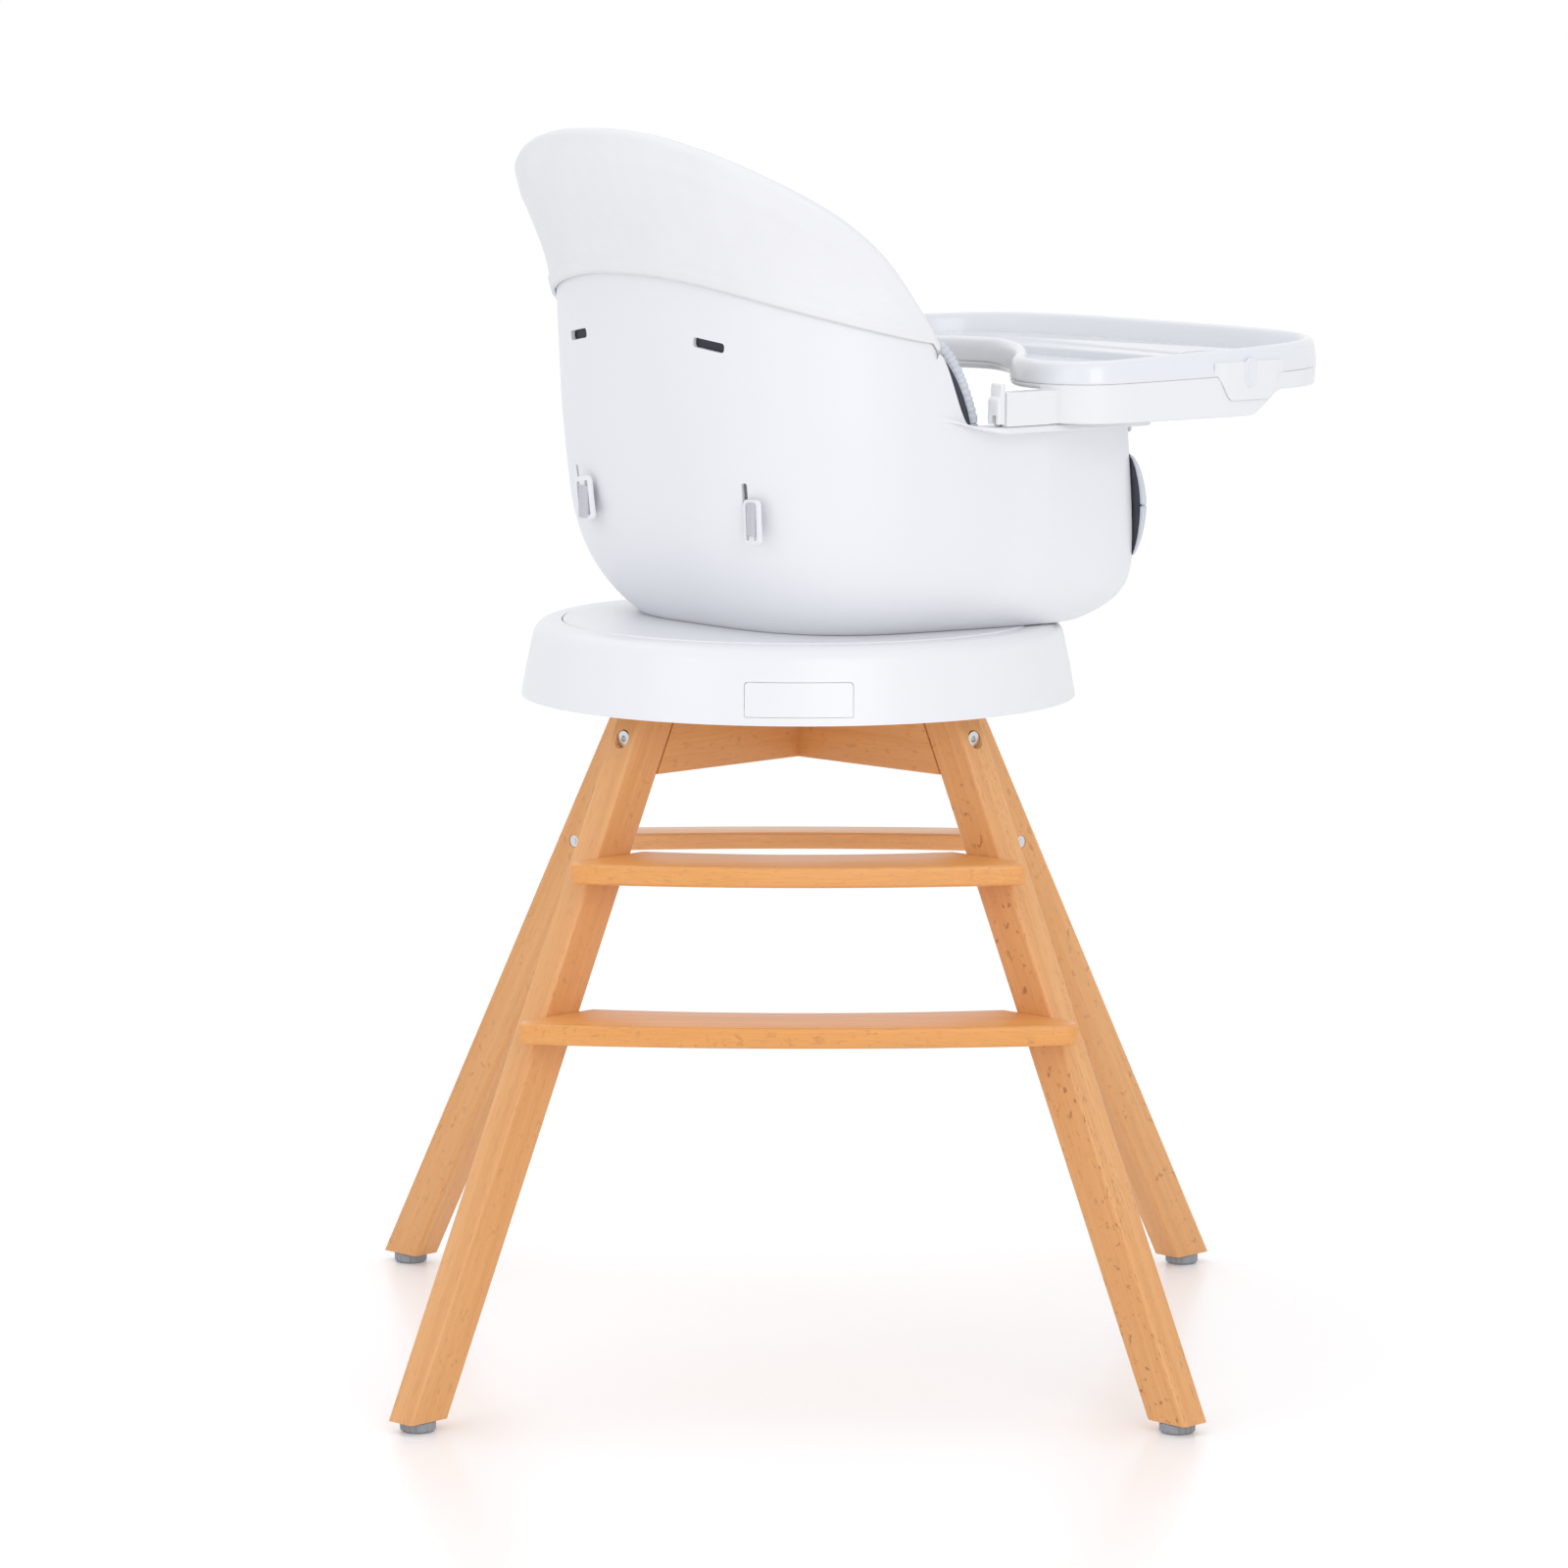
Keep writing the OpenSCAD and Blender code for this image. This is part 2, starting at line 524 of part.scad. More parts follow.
// The underside is hollow: a skirt stands on the turntable and the floor lies above it
module shell_body() loft(concat(
    [[for (a = turns) let(p = shell_at(a, shell_z, shell_wall * 1.6)) [p[0], p[1], floor_z(p[0]) - shell_wall]]],
    [[for (a = turns) shell_at(a, shell_z, shell_wall * 1.6)]],
    shell_rings(0, wall_levels, function(a) shell_z),
    shell_rings(shell_wall, inner_levels, function(a) inner_low(a)),
    [[for (a = turns) floor_at(a, shell_wall + 3, 0)]]));
module at_wall(a, z) let(p = shell_at(a, z, 0), n = plan_normal(a)) translate(p)
    rotate([0, 0, atan2(n[1], n[0])]) children();
shoulder_turn = 150;
shoulder_z = shell_z + 226;
waist_turn = 137;
waist_z = shell_z + 100;
waist_slot_h = 42;
module strap_slots() for (side = [-1, 1]) {
    at_wall(side * shoulder_turn, shoulder_z) rotate([side * 8, 0, 0]) cube([40, 31, 8.5], center = true);
    at_wall(side * waist_turn, waist_z) cube([40, 5, waist_slot_h], center = true);
}
flange_front = shell_front * 0.825;
module flange(side) translate([0, 0, arm_z_top - flange_t]) linear_extrude(flange_t - 0.1)
    polygon([for (p = concat([for (a = [42:4:90]) shell_at(a, arm_z_top, shell_wall * 0.5)],
        [[-4, shell_half], [10, shell_half + flange_w * 0.8], [30, shell_half + flange_w],
        [flange_front - 9, shell_half + flange_w], [flange_front, shell_half + flange_w - 8]])) [p[0], side * p[1]]]);
rail_mid = shell_half + flange_w - 6;
tray_rail_w = 4;
tray_rail_h = 8;
module tray_rail(side) translate([44, side * rail_mid - tray_rail_w / 2, arm_z_top - 1])
    cube([130, tray_rail_w, tray_rail_h + 1]);
module seat_shell() color(white) seat_frame() difference() {
    union() {
        shell_body();
        for (side = [-1, 1]) { flange(side); tray_rail(side); }
        for (a = shell_screw_turns) rotate([0, 0, a - seat_turn]) translate([shell_screw_r, 0, shell_z])
            cylinder(r = 7, h = floor_z(shell_screw_r * cos(a - seat_turn)) - shell_wall / 2 - shell_z, $fn = 32);
    }
    strap_slots();
    for (a = shell_screw_turns) rotate([0, 0, a - seat_turn]) translate([shell_screw_r, 0, shell_z - 1])
        cylinder(r = 2.6, h = 12, $fn = 24);
}
shell_screw_r = 80;
shell_screw_turns = [for (i = [0:3]) seat_turn + 45 + i * 90];
module shell_screws() color(steel) for (a = shell_screw_turns) rotate([0, 0, a]) translate([shell_screw_r, 0, disc_under - 3]) {
    cylinder(r = 5, h = 3, $fn = 32);
    cylinder(r = 2.5, h = 16, $fn = 24);
}

// Liner pad: follows the shell's inside, with a crowned and channelled seat
pad_clear = 0.9;
pad_out = shell_wall + pad_clear;
pad_in = pad_out + pad_wall;
pad_turns = [for (i = [0:59]) i * 6];
hood_in = 62;
pad_edge = 44;
function pad_top(a) = let(p = plan_at(a))
    p[0] < hood_end ? rim(a) - hood_in - 6
    : p[0] < pad_edge ? arm_z_top - 5 + (side_z - arm_z_top) * (1 - smooth((p[0] - hood_end) / (pad_edge - hood_end)))
    : min([for (step = [-6:3:6]) rim(a + step)]) - 8;
function pad_surface(x) = floor_z(x) + pad_clear + pad_seat + pad_crown;
function pad_seat_low(a) = let(p = shell_at(a, shell_z + 44, pad_in)) floor_z(p[0]) + pad_clear + pad_seat;
function pad_ring(inward, v, low) = [for (a = pad_turns) let(z = low(a)) shell_at(a, z + (pad_top(a) - z) * v, inward)];
// Seat surface inside the walls: share of the outline, rise over the edge, and channels across it
function seat_ring(share) = [for (a = pad_turns) let(p = shell_at(a, pad_seat_low(a), pad_in + 4),
    x = p[0] * share, y = p[1] * share)
    [x, y, pad_surface(x) - pad_crown * pow(share, 3)]];
module liner_pad() color(cloth) seat_frame() difference() {
    loft(concat(
        [[for (a = pad_turns) floor_at(a, pad_out + 9, pad_clear)]],
        [for (v = [0.05, 0.14, 0.3]) [for (a = pad_turns) shell_at(a, inner_level(a, v), pad_out)]],
        [for (v = [0.35, 0.66, 0.83, 1]) pad_ring(pad_out, v, function(a) inner_level(a, 0.3))],
        [pad_ring(pad_out + pad_wall * 0.5, 1.012, function(a) inner_low(a))],
        [for (v = [0.995, 0.75, 0.45, 0.2, 0]) pad_ring(pad_in, v, function(a) pad_seat_low(a))],
        [for (share = [1, 0.8, 0.55, 0.3]) seat_ring(share)]));
    strap_slots();
}

// Liner hood: a padded pocket over the shell's rim, from its hem outside to its edge inside
hood_turns = [for (a = [96:3:264]) a];
hood_gap = 0.9;
outer_gap = 3.4;
inner_gap = 1.8;
hem_least = 6;
function hem_drop(a) = let(share = min(1, max(0, (hood_end + 2 - plan_at(a)[0]) / (shell_back - 8))))
    max(hem_least, rim(a) - shell_z - hem_side - hem_climb * pow(share, 1.25));
// Section of the hood as outward offset from the shell's outer face and height above the rim
function hood_section(a) = let(t = hood_t, drop = hem_drop(a), w = shell_wall, g = hood_gap, o = outer_gap, i = inner_gap)
    concat([for (v = [0.8:-0.2:0.2]) [o, -drop * v]], [[g, g], [-w - g, g]],
        [[-w - i, -hood_in * 0.5], [-w - i, -hood_in + 1], [-w - g - t, -hood_in], [-w - g - t * 1.6, -hood_in * 0.6]],
        arc(-w / 2, g, w / 2 + g + t, 180, 0, 6),
        [[o + t - 2.2, -drop * 0.4], [o + 2.2, -drop + 5], [o + 2.8, -drop + 1], [o + 2, -drop - 1.5], [o, -drop]]);
module liner_hood() color(cloth) seat_frame() loft([for (a = hood_turns) let(top = rim(a))
    [for (p = hood_section(a)) shell_at(a, top + p[1], -p[0])]]);

// Liner apron: the same pocket, smaller, over the front lip and up the front corners
apron_turns = [for (a = [-36:3:36]) a];
apron_drop = 16;
apron_t = 6;
function apron_section() = let(w = shell_wall, g = hood_gap, t = apron_t)
    concat([[g, g], [-w - g, g], [-w - g, -1], [-w - g - t, -2]],
        arc(-w / 2, g, w / 2 + g + t, 180, 0, 6),
        [[g + t, -apron_drop * 0.6], [g + 3, -apron_drop - 1], [g, -apron_drop]]);
module liner_apron() color(cloth) seat_frame() loft([for (a = apron_turns) let(top = rim(a))
    [for (p = apron_section()) shell_at(a, top + p[1], -p[0])]]);

// A strip of even thickness along a path, as a polygon
function unit(v) = v / norm(v);
function side_step(path, i) = let(n = len(path) - 1,
    d0 = unit(i > 0 ? path[i] - path[i - 1] : path[1] - path[0]),
    d1 = i < n ? unit(path[i + 1] - path[i]) : d0)
    [-d0[1] - d1[1], d0[0] + d1[0]] / (1 + d0 * d1);
function ribbon(path, t) = let(n = len(path) - 1)
    concat([for (i = [0:n]) path[i] + side_step(path, i) * t / 2], [for (i = [n:-1:0]) path[i] - side_step(path, i) * t / 2]);

// Slide buckles: flat frames with two slots, outside the waist slots
buckle_w = 27;
buckle_h = 37;
buckle_t = 2.5;
buckle_off = 3.9;
buckle_drop = 5.5;
buckle_pitch = 6;
web_w = 25;
web_t = 1.3;
module slide_buckles() color(white) seat_frame() for (side = [-1, 1]) at_wall(side * waist_turn, waist_z - buckle_drop)
    translate([buckle_off, 0, 0]) rotate([0, 90, 0]) linear_extrude(buckle_t) difference() {
        rounded_plan(buckle_h, buckle_w, 4);
        for (y = [-1, 1]) translate([0, y * buckle_pitch]) square([web_w + 1, 5], center = true);
    }

// Harness: waist straps run from the slide buckles through the shell to a buckle in front of the child
lock_w = 44;
lock_h = 38;
lock_t = 14;
lock_x = 78;
lock_z = waist_z - buckle_drop;
// From the local frame of a waist slot to the seat's frame, both seen from above
function from_wall(q) = let(p = shell_at(waist_turn, waist_z - buckle_drop, 0), n = plan_normal(waist_turn))
    [p[0] + n[0] * q[0] - n[1] * q[1], p[1] + n[1] * q[0] + n[0] * q[1]];
front_y = buckle_off + buckle_t + web_t;
strap_path = concat([for (q = [[2.4, buckle_pitch + 3], [2.4, buckle_pitch], [front_y, buckle_pitch],
    [front_y, -buckle_pitch], [2.4, -buckle_pitch], [2.4, 0], [-pad_in - 4, 0]]) from_wall(q)],
    [[20, 96], [lock_x, lock_w / 2 + 26], [lock_x, lock_w / 2]]);
module waist_straps() color(cloth) seat_frame() for (side = [0, 1]) mirror([0, side, 0])
    translate([0, 0, lock_z - web_w / 2]) linear_extrude(web_w) polygon(ribbon(strap_path, web_t));
module crotch_strap() color(cloth) seat_frame() translate([lock_x - web_t / 2, -web_w / 2, pad_surface(lock_x)])
    cube([web_t, web_w, lock_z - lock_h / 2 - pad_surface(lock_x)]);
module harness_buckle() color(grey) seat_frame() translate([lock_x - lock_t / 2, 0, lock_z]) rotate([0, 90, 0])
    difference() {
        linear_extrude(lock_t) rounded_plan(lock_h, lock_w, 8);
        translate([0, 0, lock_t - 5]) cylinder(r = button_r + running, h = 6, $fn = 48);
        translate([0, 0, lock_t / 2 - 2]) cylinder(r = 3 + running, h = lock_t, $fn = 32);
    }
button_r = 10;
module harness_button() color(grey) seat_frame() translate([lock_x - lock_t / 2, 0, lock_z]) rotate([0, 90, 0]) {
    translate([0, 0, lock_t - 3]) cylinder(r = button_r, h = 3.5, $fn = 48);
    translate([0, 0, lock_t / 2]) cylinder(r = 3, h = lock_t / 2, $fn = 32);
}

// Tray: base with a deep skirt along its sides, arms that ride on the armrest flanges, and a lift-off insert
tray_z = arm_z_top + gap;
tray_top = tray_z + tray_h;
front_bow = 4;
ear_bow = 5;
// Outline of the tray: bowed front and sides, ears that end in round tips, and the belly edge
function side_curve(a) = let(front = cos(a) > 0, reach = front ? tray_front : tray_ears, n = front ? front_bow : ear_bow,
    r = pow(pow(abs(cos(a)) / reach, n) + pow(abs(sin(a)) / tray_half, n), -1 / n)) [tray_mid + r * cos(a), r * sin(a)];
ear_half = 168;
function belly_curve(y) = [belly_x - (belly_x - tray_mid + tray_ears) * pow(y / ear_half, 1.54), y];
function bend(p, c, q, v) = p * pow(1 - v, 2) + c * 2 * v * (1 - v) + q * v * v;
ear_turn = 111;
ear_inner = 138;
tray_half_plan = concat([for (a = [0:4:88]) side_curve(a)], [for (a = [90:1.5:ear_turn]) side_curve(a)],
    [for (v = [0.12:0.11:0.9]) bend(side_curve(ear_turn), [tray_mid - tray_ears + 1, ear_half + 6], belly_curve(ear_inner), v)],
    [for (y = [ear_inner:-14:10]) belly_curve(y)], [[belly_x, 0]]);
tray_plan = concat(tray_half_plan, [for (i = [len(tray_half_plan) - 2:-1:1]) [tray_half_plan[i][0], -tray_half_plan[i][1]]]);
tray_count = len(tray_plan);
function tray_normal(i) = let(d = tray_plan[(i + 1) % tray_count] - tray_plan[(i + tray_count - 1) % tray_count])
    [d[1], -d[0]] / norm(d);
function tray_ring(inward, height) = [for (i = [0:tray_count - 1])
    let(p = tray_plan[i] - tray_normal(i) * inward) [p[0], p[1], height(tray_plan[i])]];
under_z = tray_z + 26;
// Rise of the rim towards the front
rim_tilt = 0.03;
function lift(p) = rim_tilt * (p[0] - tray_mid);
// The skirt is deep beside the armrests and shallow along the front and at the ears
skirt_end = tray_mid + 90;
shallow = 19;
arm_side = rail_mid + 9.5;
function skirt_z(p) = tray_z + max(shallow * smooth((p[0] - skirt_end) / 42), (under_z - tray_z) * smooth((arm_side - abs(p[1])) / 3));
seam_z = tray_top - 19.5;
function seam(p) = seam_z + 0.4 * lift(p);
module tray_base() color(white) seat_frame() loft([
    tray_ring(14, function(p) under_z), tray_ring(5.2, function(p) under_z),
    tray_ring(4.6, function(p) skirt_z(p)), tray_ring(2.4, function(p) skirt_z(p)),
    tray_ring(1, function(p) skirt_z(p) + 1.2), tray_ring(0.4, function(p) seam(p) - 0.5),
    tray_ring(0.6, function(p) seam(p)), tray_ring(3.4, function(p) seam(p) + 0.4),
    tray_ring(4.2, function(p) tray_top + lift(p) - 6), tray_ring(5.5, function(p) tray_top + lift(p) - 4),
    tray_ring(7, function(p) tray_top + lift(p) - 4), tray_ring(8.4, function(p) tray_top + lift(p) - 7),
    tray_ring(11, function(p) tray_top - 20.4), tray_ring(14, function(p) tray_top - 21)]);
module tray_insert() color(white) seat_frame() difference() {
    union() {
        loft([
            tray_ring(14.5, function(p) tray_top - 20), tray_ring(12.6, function(p) tray_top - 19.4),
            tray_ring(9.6, function(p) tray_top + lift(p) - 6.5), tray_ring(7.6, function(p) tray_top + lift(p) - 3.2),
            tray_ring(5.2, function(p) tray_top + lift(p) - 3.2), tray_ring(3.5, function(p) tray_top + lift(p) - 5.7),
            tray_ring(2.8, function(p) seam(p) + 0.8), tray_ring(0.2, function(p) seam(p) + 0.3),
            tray_ring(0, function(p) seam(p) + 2), tray_ring(1, function(p) tray_top + lift(p) - 8),
            tray_ring(2.6, function(p) tray_top + lift(p) - 2.8), tray_ring(5, function(p) tray_top + lift(p) - 0.6),
            tray_ring(7.5, function(p) tray_top + lift(p)), tray_ring(10, function(p) tray_top + lift(p) - 1),
            tray_ring(12, function(p) tray_top + lift(p) - 5), tray_ring(14.4, function(p) tray_top - 15.5),
            tray_ring(16, function(p) tray_top - 17.4)]);
        plateau();
        for (side = [-1, 1]) side_clip(side);
    }
    translate([cup_x, -cup_y, tray_top - 16.5]) cylinder(r = cup_r, h = 20, $fn = 72);
    translate([cup_x, -cup_y, tray_top - 12]) cylinder(r = cup_r + 5, h = 20, $fn = 72);
}
// A clip on each side of the insert hangs over the base and carries an oval button
clip_t = 1.8;
clip_w = 44;
clip_turn = 69;
clip_z = seam_z - 18;
clip_in = 0.1;
button_w = 13;
button_h = 23;
function outline(inward) = [for (p = tray_ring(inward, function(p) 0)) [p[0], p[1]]];
module band(inward, low, high) translate([0, 0, low]) linear_extrude(high - low) difference() {
    polygon(outline(-clip_t));
    polygon(outline(inward));
}
module side_clip(side) let(p = side_curve(clip_turn), d = side_curve(clip_turn + 1) - side_curve(clip_turn - 1)) {
    intersection() {
        union() {
            band(clip_in, clip_z, seam_z + 4);
            band(2.5, seam_z + 2.8, seam_z + 12);
        }
        translate([p[0] - clip_w / 2, side * tray_half - tray_half / 2, clip_z]) cube([clip_w, tray_half, tray_h]);
    }
    translate([p[0], side * p[1], seam_z + 3]) rotate([0, 0, side * atan2(-d[0], d[1])]) rotate([90, 0, 90])
        linear_extrude(clip_t + 1) {
            square([button_w, button_h - button_w], center = true);
            for (y = [-1, 1]) translate([0, y * (button_h - button_w) / 2]) circle(button_w / 2, $fn = 32);
        }
}
// The insert's front part lies higher than its food area and holds the cup recess
plateau_x = 268;
cup_x = 334;
cup_y = 140;
module plateau() translate([0, 0, tray_top - 18.5]) linear_extrude(8.5) intersection() {
    polygon([for (p = tray_ring(12.8, function(p) 0)) [p[0], p[1]]]);
    translate([plateau_x, -tray_half]) square(2 * tray_half);
}
arm_from = 32;
arm_to = 74;
arm_w = 16;
arm_h = under_z - tray_z;
module tray_arm(side) color(white) seat_frame() difference() {
    union() {
        translate([arm_from, side * (rail_mid + 0.5) - arm_w / 2, tray_z]) cube([arm_to - arm_from, arm_w, arm_h]);
        translate([arm_to - 1, side * (rail_mid - 4.5) - 3.5, tray_z]) cube([90, 7, arm_h]);
        translate([arm_to - 1, side * (rail_mid + 0.9) - 2.9, tray_z]) cube([90, 5.8, 9.5]);
    }
    translate([0, side * rail_mid - tray_rail_w / 2 - gap, arm_z_top - 1]) cube([190, tray_rail_w + 2 * gap, tray_rail_h + 1 + gap]);
    translate([arm_from - 1, side * rail_mid, lever_z]) rotate([0, 90, 0]) cylinder(r = 3 + running, h = 20, $fn = 32);
}
module tray_arm_left() tray_arm(1);
module tray_arm_right() tray_arm(-1);
lever_z = tray_z + 17;
lever_t = 5;
module release_lever(side) color(white) seat_frame() translate([arm_from - gap, side * rail_mid, lever_z]) rotate([0, -90, 0]) {
    linear_extrude(lever_t) rounded_plan(16, 13, 4);
    translate([0, 0, -16]) cylinder(r = 3, h = 17, $fn = 32);
}
module release_lever_left() release_lever(1);
module release_lever_right() release_lever(-1);

leg_front_left();
leg_front_right();
leg_rear_left();
leg_rear_right();
cross_beam_a();
cross_beam_b();
upper_step();
lower_step();
rear_rail();
leg_bolts();
barrel_nuts();
step_screws();
foot_inserts();
foot_front_left();
foot_front_right();
foot_rear_left();
foot_rear_right();
housing_ring();
base_plate();
housing_screws();
glide_ring();
lock_panel();
lock_bolt();
lock_spring();
turntable();
pivot_washer();
pivot_screw();
seat_shell();
shell_screws();
liner_pad();
liner_hood();
liner_apron();
slide_buckles();
waist_straps();
crotch_strap();
harness_buckle();
harness_button();
tray_base();
tray_arm_left();
tray_arm_right();
release_lever_left();
release_lever_right();
tray_insert();
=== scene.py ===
# %% [markdown]
# # A swivel high chair
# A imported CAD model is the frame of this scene. Its exact pieces (legs, screws, housing) stay and
# only get better materials. The moulded shell, the tray, the step boards and the soft liner are
# surfaces worked out with numpy, because their curves come from formulas.

# %% Load the frame
import bpy, bmesh, math
import numpy as np
from mathutils import Matrix, Vector


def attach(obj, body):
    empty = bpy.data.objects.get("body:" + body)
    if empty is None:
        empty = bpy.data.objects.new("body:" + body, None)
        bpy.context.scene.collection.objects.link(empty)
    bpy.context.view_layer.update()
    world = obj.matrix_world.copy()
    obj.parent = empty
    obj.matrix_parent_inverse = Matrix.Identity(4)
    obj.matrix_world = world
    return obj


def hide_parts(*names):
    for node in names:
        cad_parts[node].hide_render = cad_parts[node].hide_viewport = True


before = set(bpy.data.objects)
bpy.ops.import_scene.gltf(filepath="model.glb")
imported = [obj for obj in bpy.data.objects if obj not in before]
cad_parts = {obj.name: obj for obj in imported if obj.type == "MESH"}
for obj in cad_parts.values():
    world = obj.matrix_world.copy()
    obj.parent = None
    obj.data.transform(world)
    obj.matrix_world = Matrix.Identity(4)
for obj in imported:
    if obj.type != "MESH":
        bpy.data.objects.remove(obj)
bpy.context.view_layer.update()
SIDES = ((1, "left"), (-1, "right"))

# %% [markdown]
# The camera stands 5 m away and looks slightly down, as the catalogue photograph did. It was found
# by fitting the square stand and the level rings of the housing to the picture.

# %% Camera
FOCAL_PX, FRAME_PX, SENSOR_MM = 6461.06, 1600, 36.0
CAMERA_PLACE, PITCH, ROLL = (-0.0112, -5.0, 1.1332), 0.1342, 0.0017
camera_data = bpy.data.cameras.new("camera")
camera_data.sensor_width = SENSOR_MM
camera_data.lens = FOCAL_PX * SENSOR_MM / FRAME_PX
camera_data.clip_end = 60
camera = bpy.data.objects.new("camera", camera_data)
camera.matrix_world = (Matrix.Translation(CAMERA_PLACE)
                       @ Matrix.Rotation(math.pi / 2 - PITCH, 4, "X") @ Matrix.Rotation(ROLL, 4, "Z"))
bpy.context.scene.collection.objects.link(camera)
bpy.context.scene.camera = camera
bpy.context.scene.view_settings.view_transform = "Standard"
print("lens", round(camera_data.lens, 2), "mm")

# %% [markdown]
# Every material is a small network of nodes. A few short helpers keep the networks readable: they
# add or feed a node, make a material with its shader, and make a group that materials share.

# %% Node helpers
def add_node(tree, kind, **settings):
    """Adds a node, sets its properties, and sets or links the inputs given in `inputs`."""
    inputs = settings.pop("inputs", {})
    node = tree.nodes.new(kind)
    for name, value in settings.items():
        setattr(node, name, value)
    for name, value in inputs.items():
        if isinstance(value, bpy.types.NodeSocket):
            tree.links.new(value, node.inputs[name])
        else:
            node.inputs[name].default_value = value
    return node


def feed(tree, target, **sources):
    """Links each socket to the target's input of that name, with `_` for a space."""
    for name, source in sources.items():
        tree.links.new(source, target.inputs[name.replace("_", " ")])


def new_material(name, **shader_values):
    """A material with one Principled BSDF, whose plain values are set on its own sockets."""
    material = bpy.data.materials.new(name)
    material.use_nodes = True
    shader = material.node_tree.nodes["Principled BSDF"]
    for key, value in shader_values.items():
        shader.inputs[key.replace("_", " ")].default_value = value
    return material, material.node_tree, shader


def new_group(name, inputs, outputs):
    """A shader group with named sockets. Returns the tree, its input node and its output node."""
    tree = bpy.data.node_groups.new(name, "ShaderNodeTree")
    for label, value in inputs.items():
        kind = "NodeSocketVector" if value is None else "NodeSocketFloat"
        socket = tree.interface.new_socket(label, in_out="INPUT", socket_type=kind)
        if value is not None:
            socket.default_value = value
    for label, kind in outputs.items():
        tree.interface.new_socket(label, in_out="OUTPUT", socket_type="NodeSocket" + kind)
    return tree, tree.nodes.new("NodeGroupInput"), tree.nodes.new("NodeGroupOutput")


def place_group(tree, group, **inputs):
    """Places a group, sets or links its inputs, and returns its outputs."""
    return add_node(tree, "ShaderNodeGroup", node_tree=group, inputs=inputs).outputs


def here(tree, kind="Object"):
    """The place on the piece, in Object coordinates unless another kind is asked for."""
    return add_node(tree, "ShaderNodeTexCoord").outputs[kind]


def mix_colour(tree, factor, first, second):
    """Mixes two colours; each is a socket, or red, green and blue."""
    first, second = [c if isinstance(c, bpy.types.NodeSocket) else (*c, 1) for c in (first, second)]
    return add_node(tree, "ShaderNodeMix", data_type="RGBA",
                    inputs={0: factor, 6: first, 7: second}).outputs[2]


def ramp(tree, value, low, high, out_low=0.0, out_high=1.0):
    """Maps a value from low..high to out_low..out_high, clamped."""
    return add_node(tree, "ShaderNodeMapRange",
                    inputs={"Value": value, "From Min": low, "From Max": high,
                            "To Min": out_low, "To Max": out_high}).outputs[0]


def maths(tree, operation, first, second):
    """One step of arithmetic on two values or sockets."""
    return add_node(tree, "ShaderNodeMath", operation=operation, inputs={0: first, 1: second}).outputs[0]


def noise(tree, vector, scale, detail, **more):
    """Fractal noise at a place. A larger scale is finer, and more detail adds octaves."""
    return add_node(tree, "ShaderNodeTexNoise",
                    inputs={"Vector": vector, "Scale": scale, "Detail": detail, **more}).outputs["Fac"]


def mapped(tree, vector, **inputs):
    """The place moved, turned or scaled by a Mapping node."""
    return add_node(tree, "ShaderNodeMapping", inputs={"Vector": vector, **inputs}).outputs[0]


def emboss(tree, shader, height, strength, distance):
    """Bumps a shader's normal by a height."""
    bump = add_node(tree, "ShaderNodeBump",
                    inputs={"Strength": strength, "Distance": distance, "Height": height})
    feed(tree, shader, Normal=bump.outputs["Normal"])


print("node helpers ready")

# %% [markdown]
# Moulded plastic is never quite even: it has a very fine spark-eroded texture, a slow mottling of
# its gloss and a trace of handling dust. One group gives these as masks and a height, and each
# plastic places it with its own scale.

# %% Moulded plastic
moulded, g_in, g_out = new_group("moulded surface", {"Vector": None, "Grain": 900.0, "Mottle": 9.0},
                                 {"Height": "Float", "Mottling": "Float", "Dust": "Float"})
source = g_in.outputs["Vector"]
slow = noise(moulded, source, g_in.outputs["Mottle"], 3.0, Roughness=0.55)
specks = noise(moulded, source, 160.0, 4.0, Roughness=0.7)
feed(moulded, g_out, Height=noise(moulded, source, g_in.outputs["Grain"], 2.0, Roughness=0.6),
     Mottling=ramp(moulded, slow, 0.3, 0.7), Dust=ramp(moulded, specks, 0.62, 0.8))
DUST_COLOUR, DUST_SHARE = (0.6, 0.6, 0.6), 0.02


def plastic(name, light, dark, roughness, spread, bump, grain=900.0, **shader_values):
    """A moulded plastic: colour drifts between light and dark, roughness between its two ends."""
    material, tree, shader = new_material(name, **shader_values)
    surface = place_group(tree, moulded, Vector=here(tree), Grain=grain, Mottle=7.0)
    tone = mix_colour(tree, surface["Mottling"], light, dark)
    dust = ramp(tree, surface["Dust"], 0, 1, 0, DUST_SHARE)
    feed(tree, shader, Base_Color=mix_colour(tree, dust, tone, DUST_COLOUR),
         Roughness=ramp(tree, surface["Mottling"], 0, 1, roughness - spread, roughness + spread))
    emboss(tree, shader, surface["Height"], bump, 0.0002)
    return material


shell_white = plastic("shell white", (0.855, 0.865, 0.89), (0.845, 0.855, 0.88), 0.32, 0.012, 0.10)
housing_white = plastic("housing white", (0.86, 0.868, 0.89), (0.85, 0.858, 0.88), 0.30, 0.012, 0.08)
tray_white = plastic("tray white", (0.86, 0.868, 0.885), (0.85, 0.858, 0.875), 0.22, 0.012, 0.04)
insert_gloss = plastic("insert gloss", (0.815, 0.835, 0.865), (0.805, 0.825, 0.855), 0.22, 0.012, 0.02,
                       Coat_Weight=0.35, Coat_Roughness=0.12)
foot_grey = plastic("foot grey", (0.34, 0.36, 0.39), (0.29, 0.31, 0.34), 0.5, 0.05, 0.3, 1500.0)
hidden_grey = plastic("inner grey", (0.22, 0.23, 0.25), (0.18, 0.19, 0.21), 0.55, 0.05, 0.3)
print("plastics", [m.name for m in (shell_white, housing_white, tray_white, insert_gloss, foot_grey,
                                    hidden_grey)])

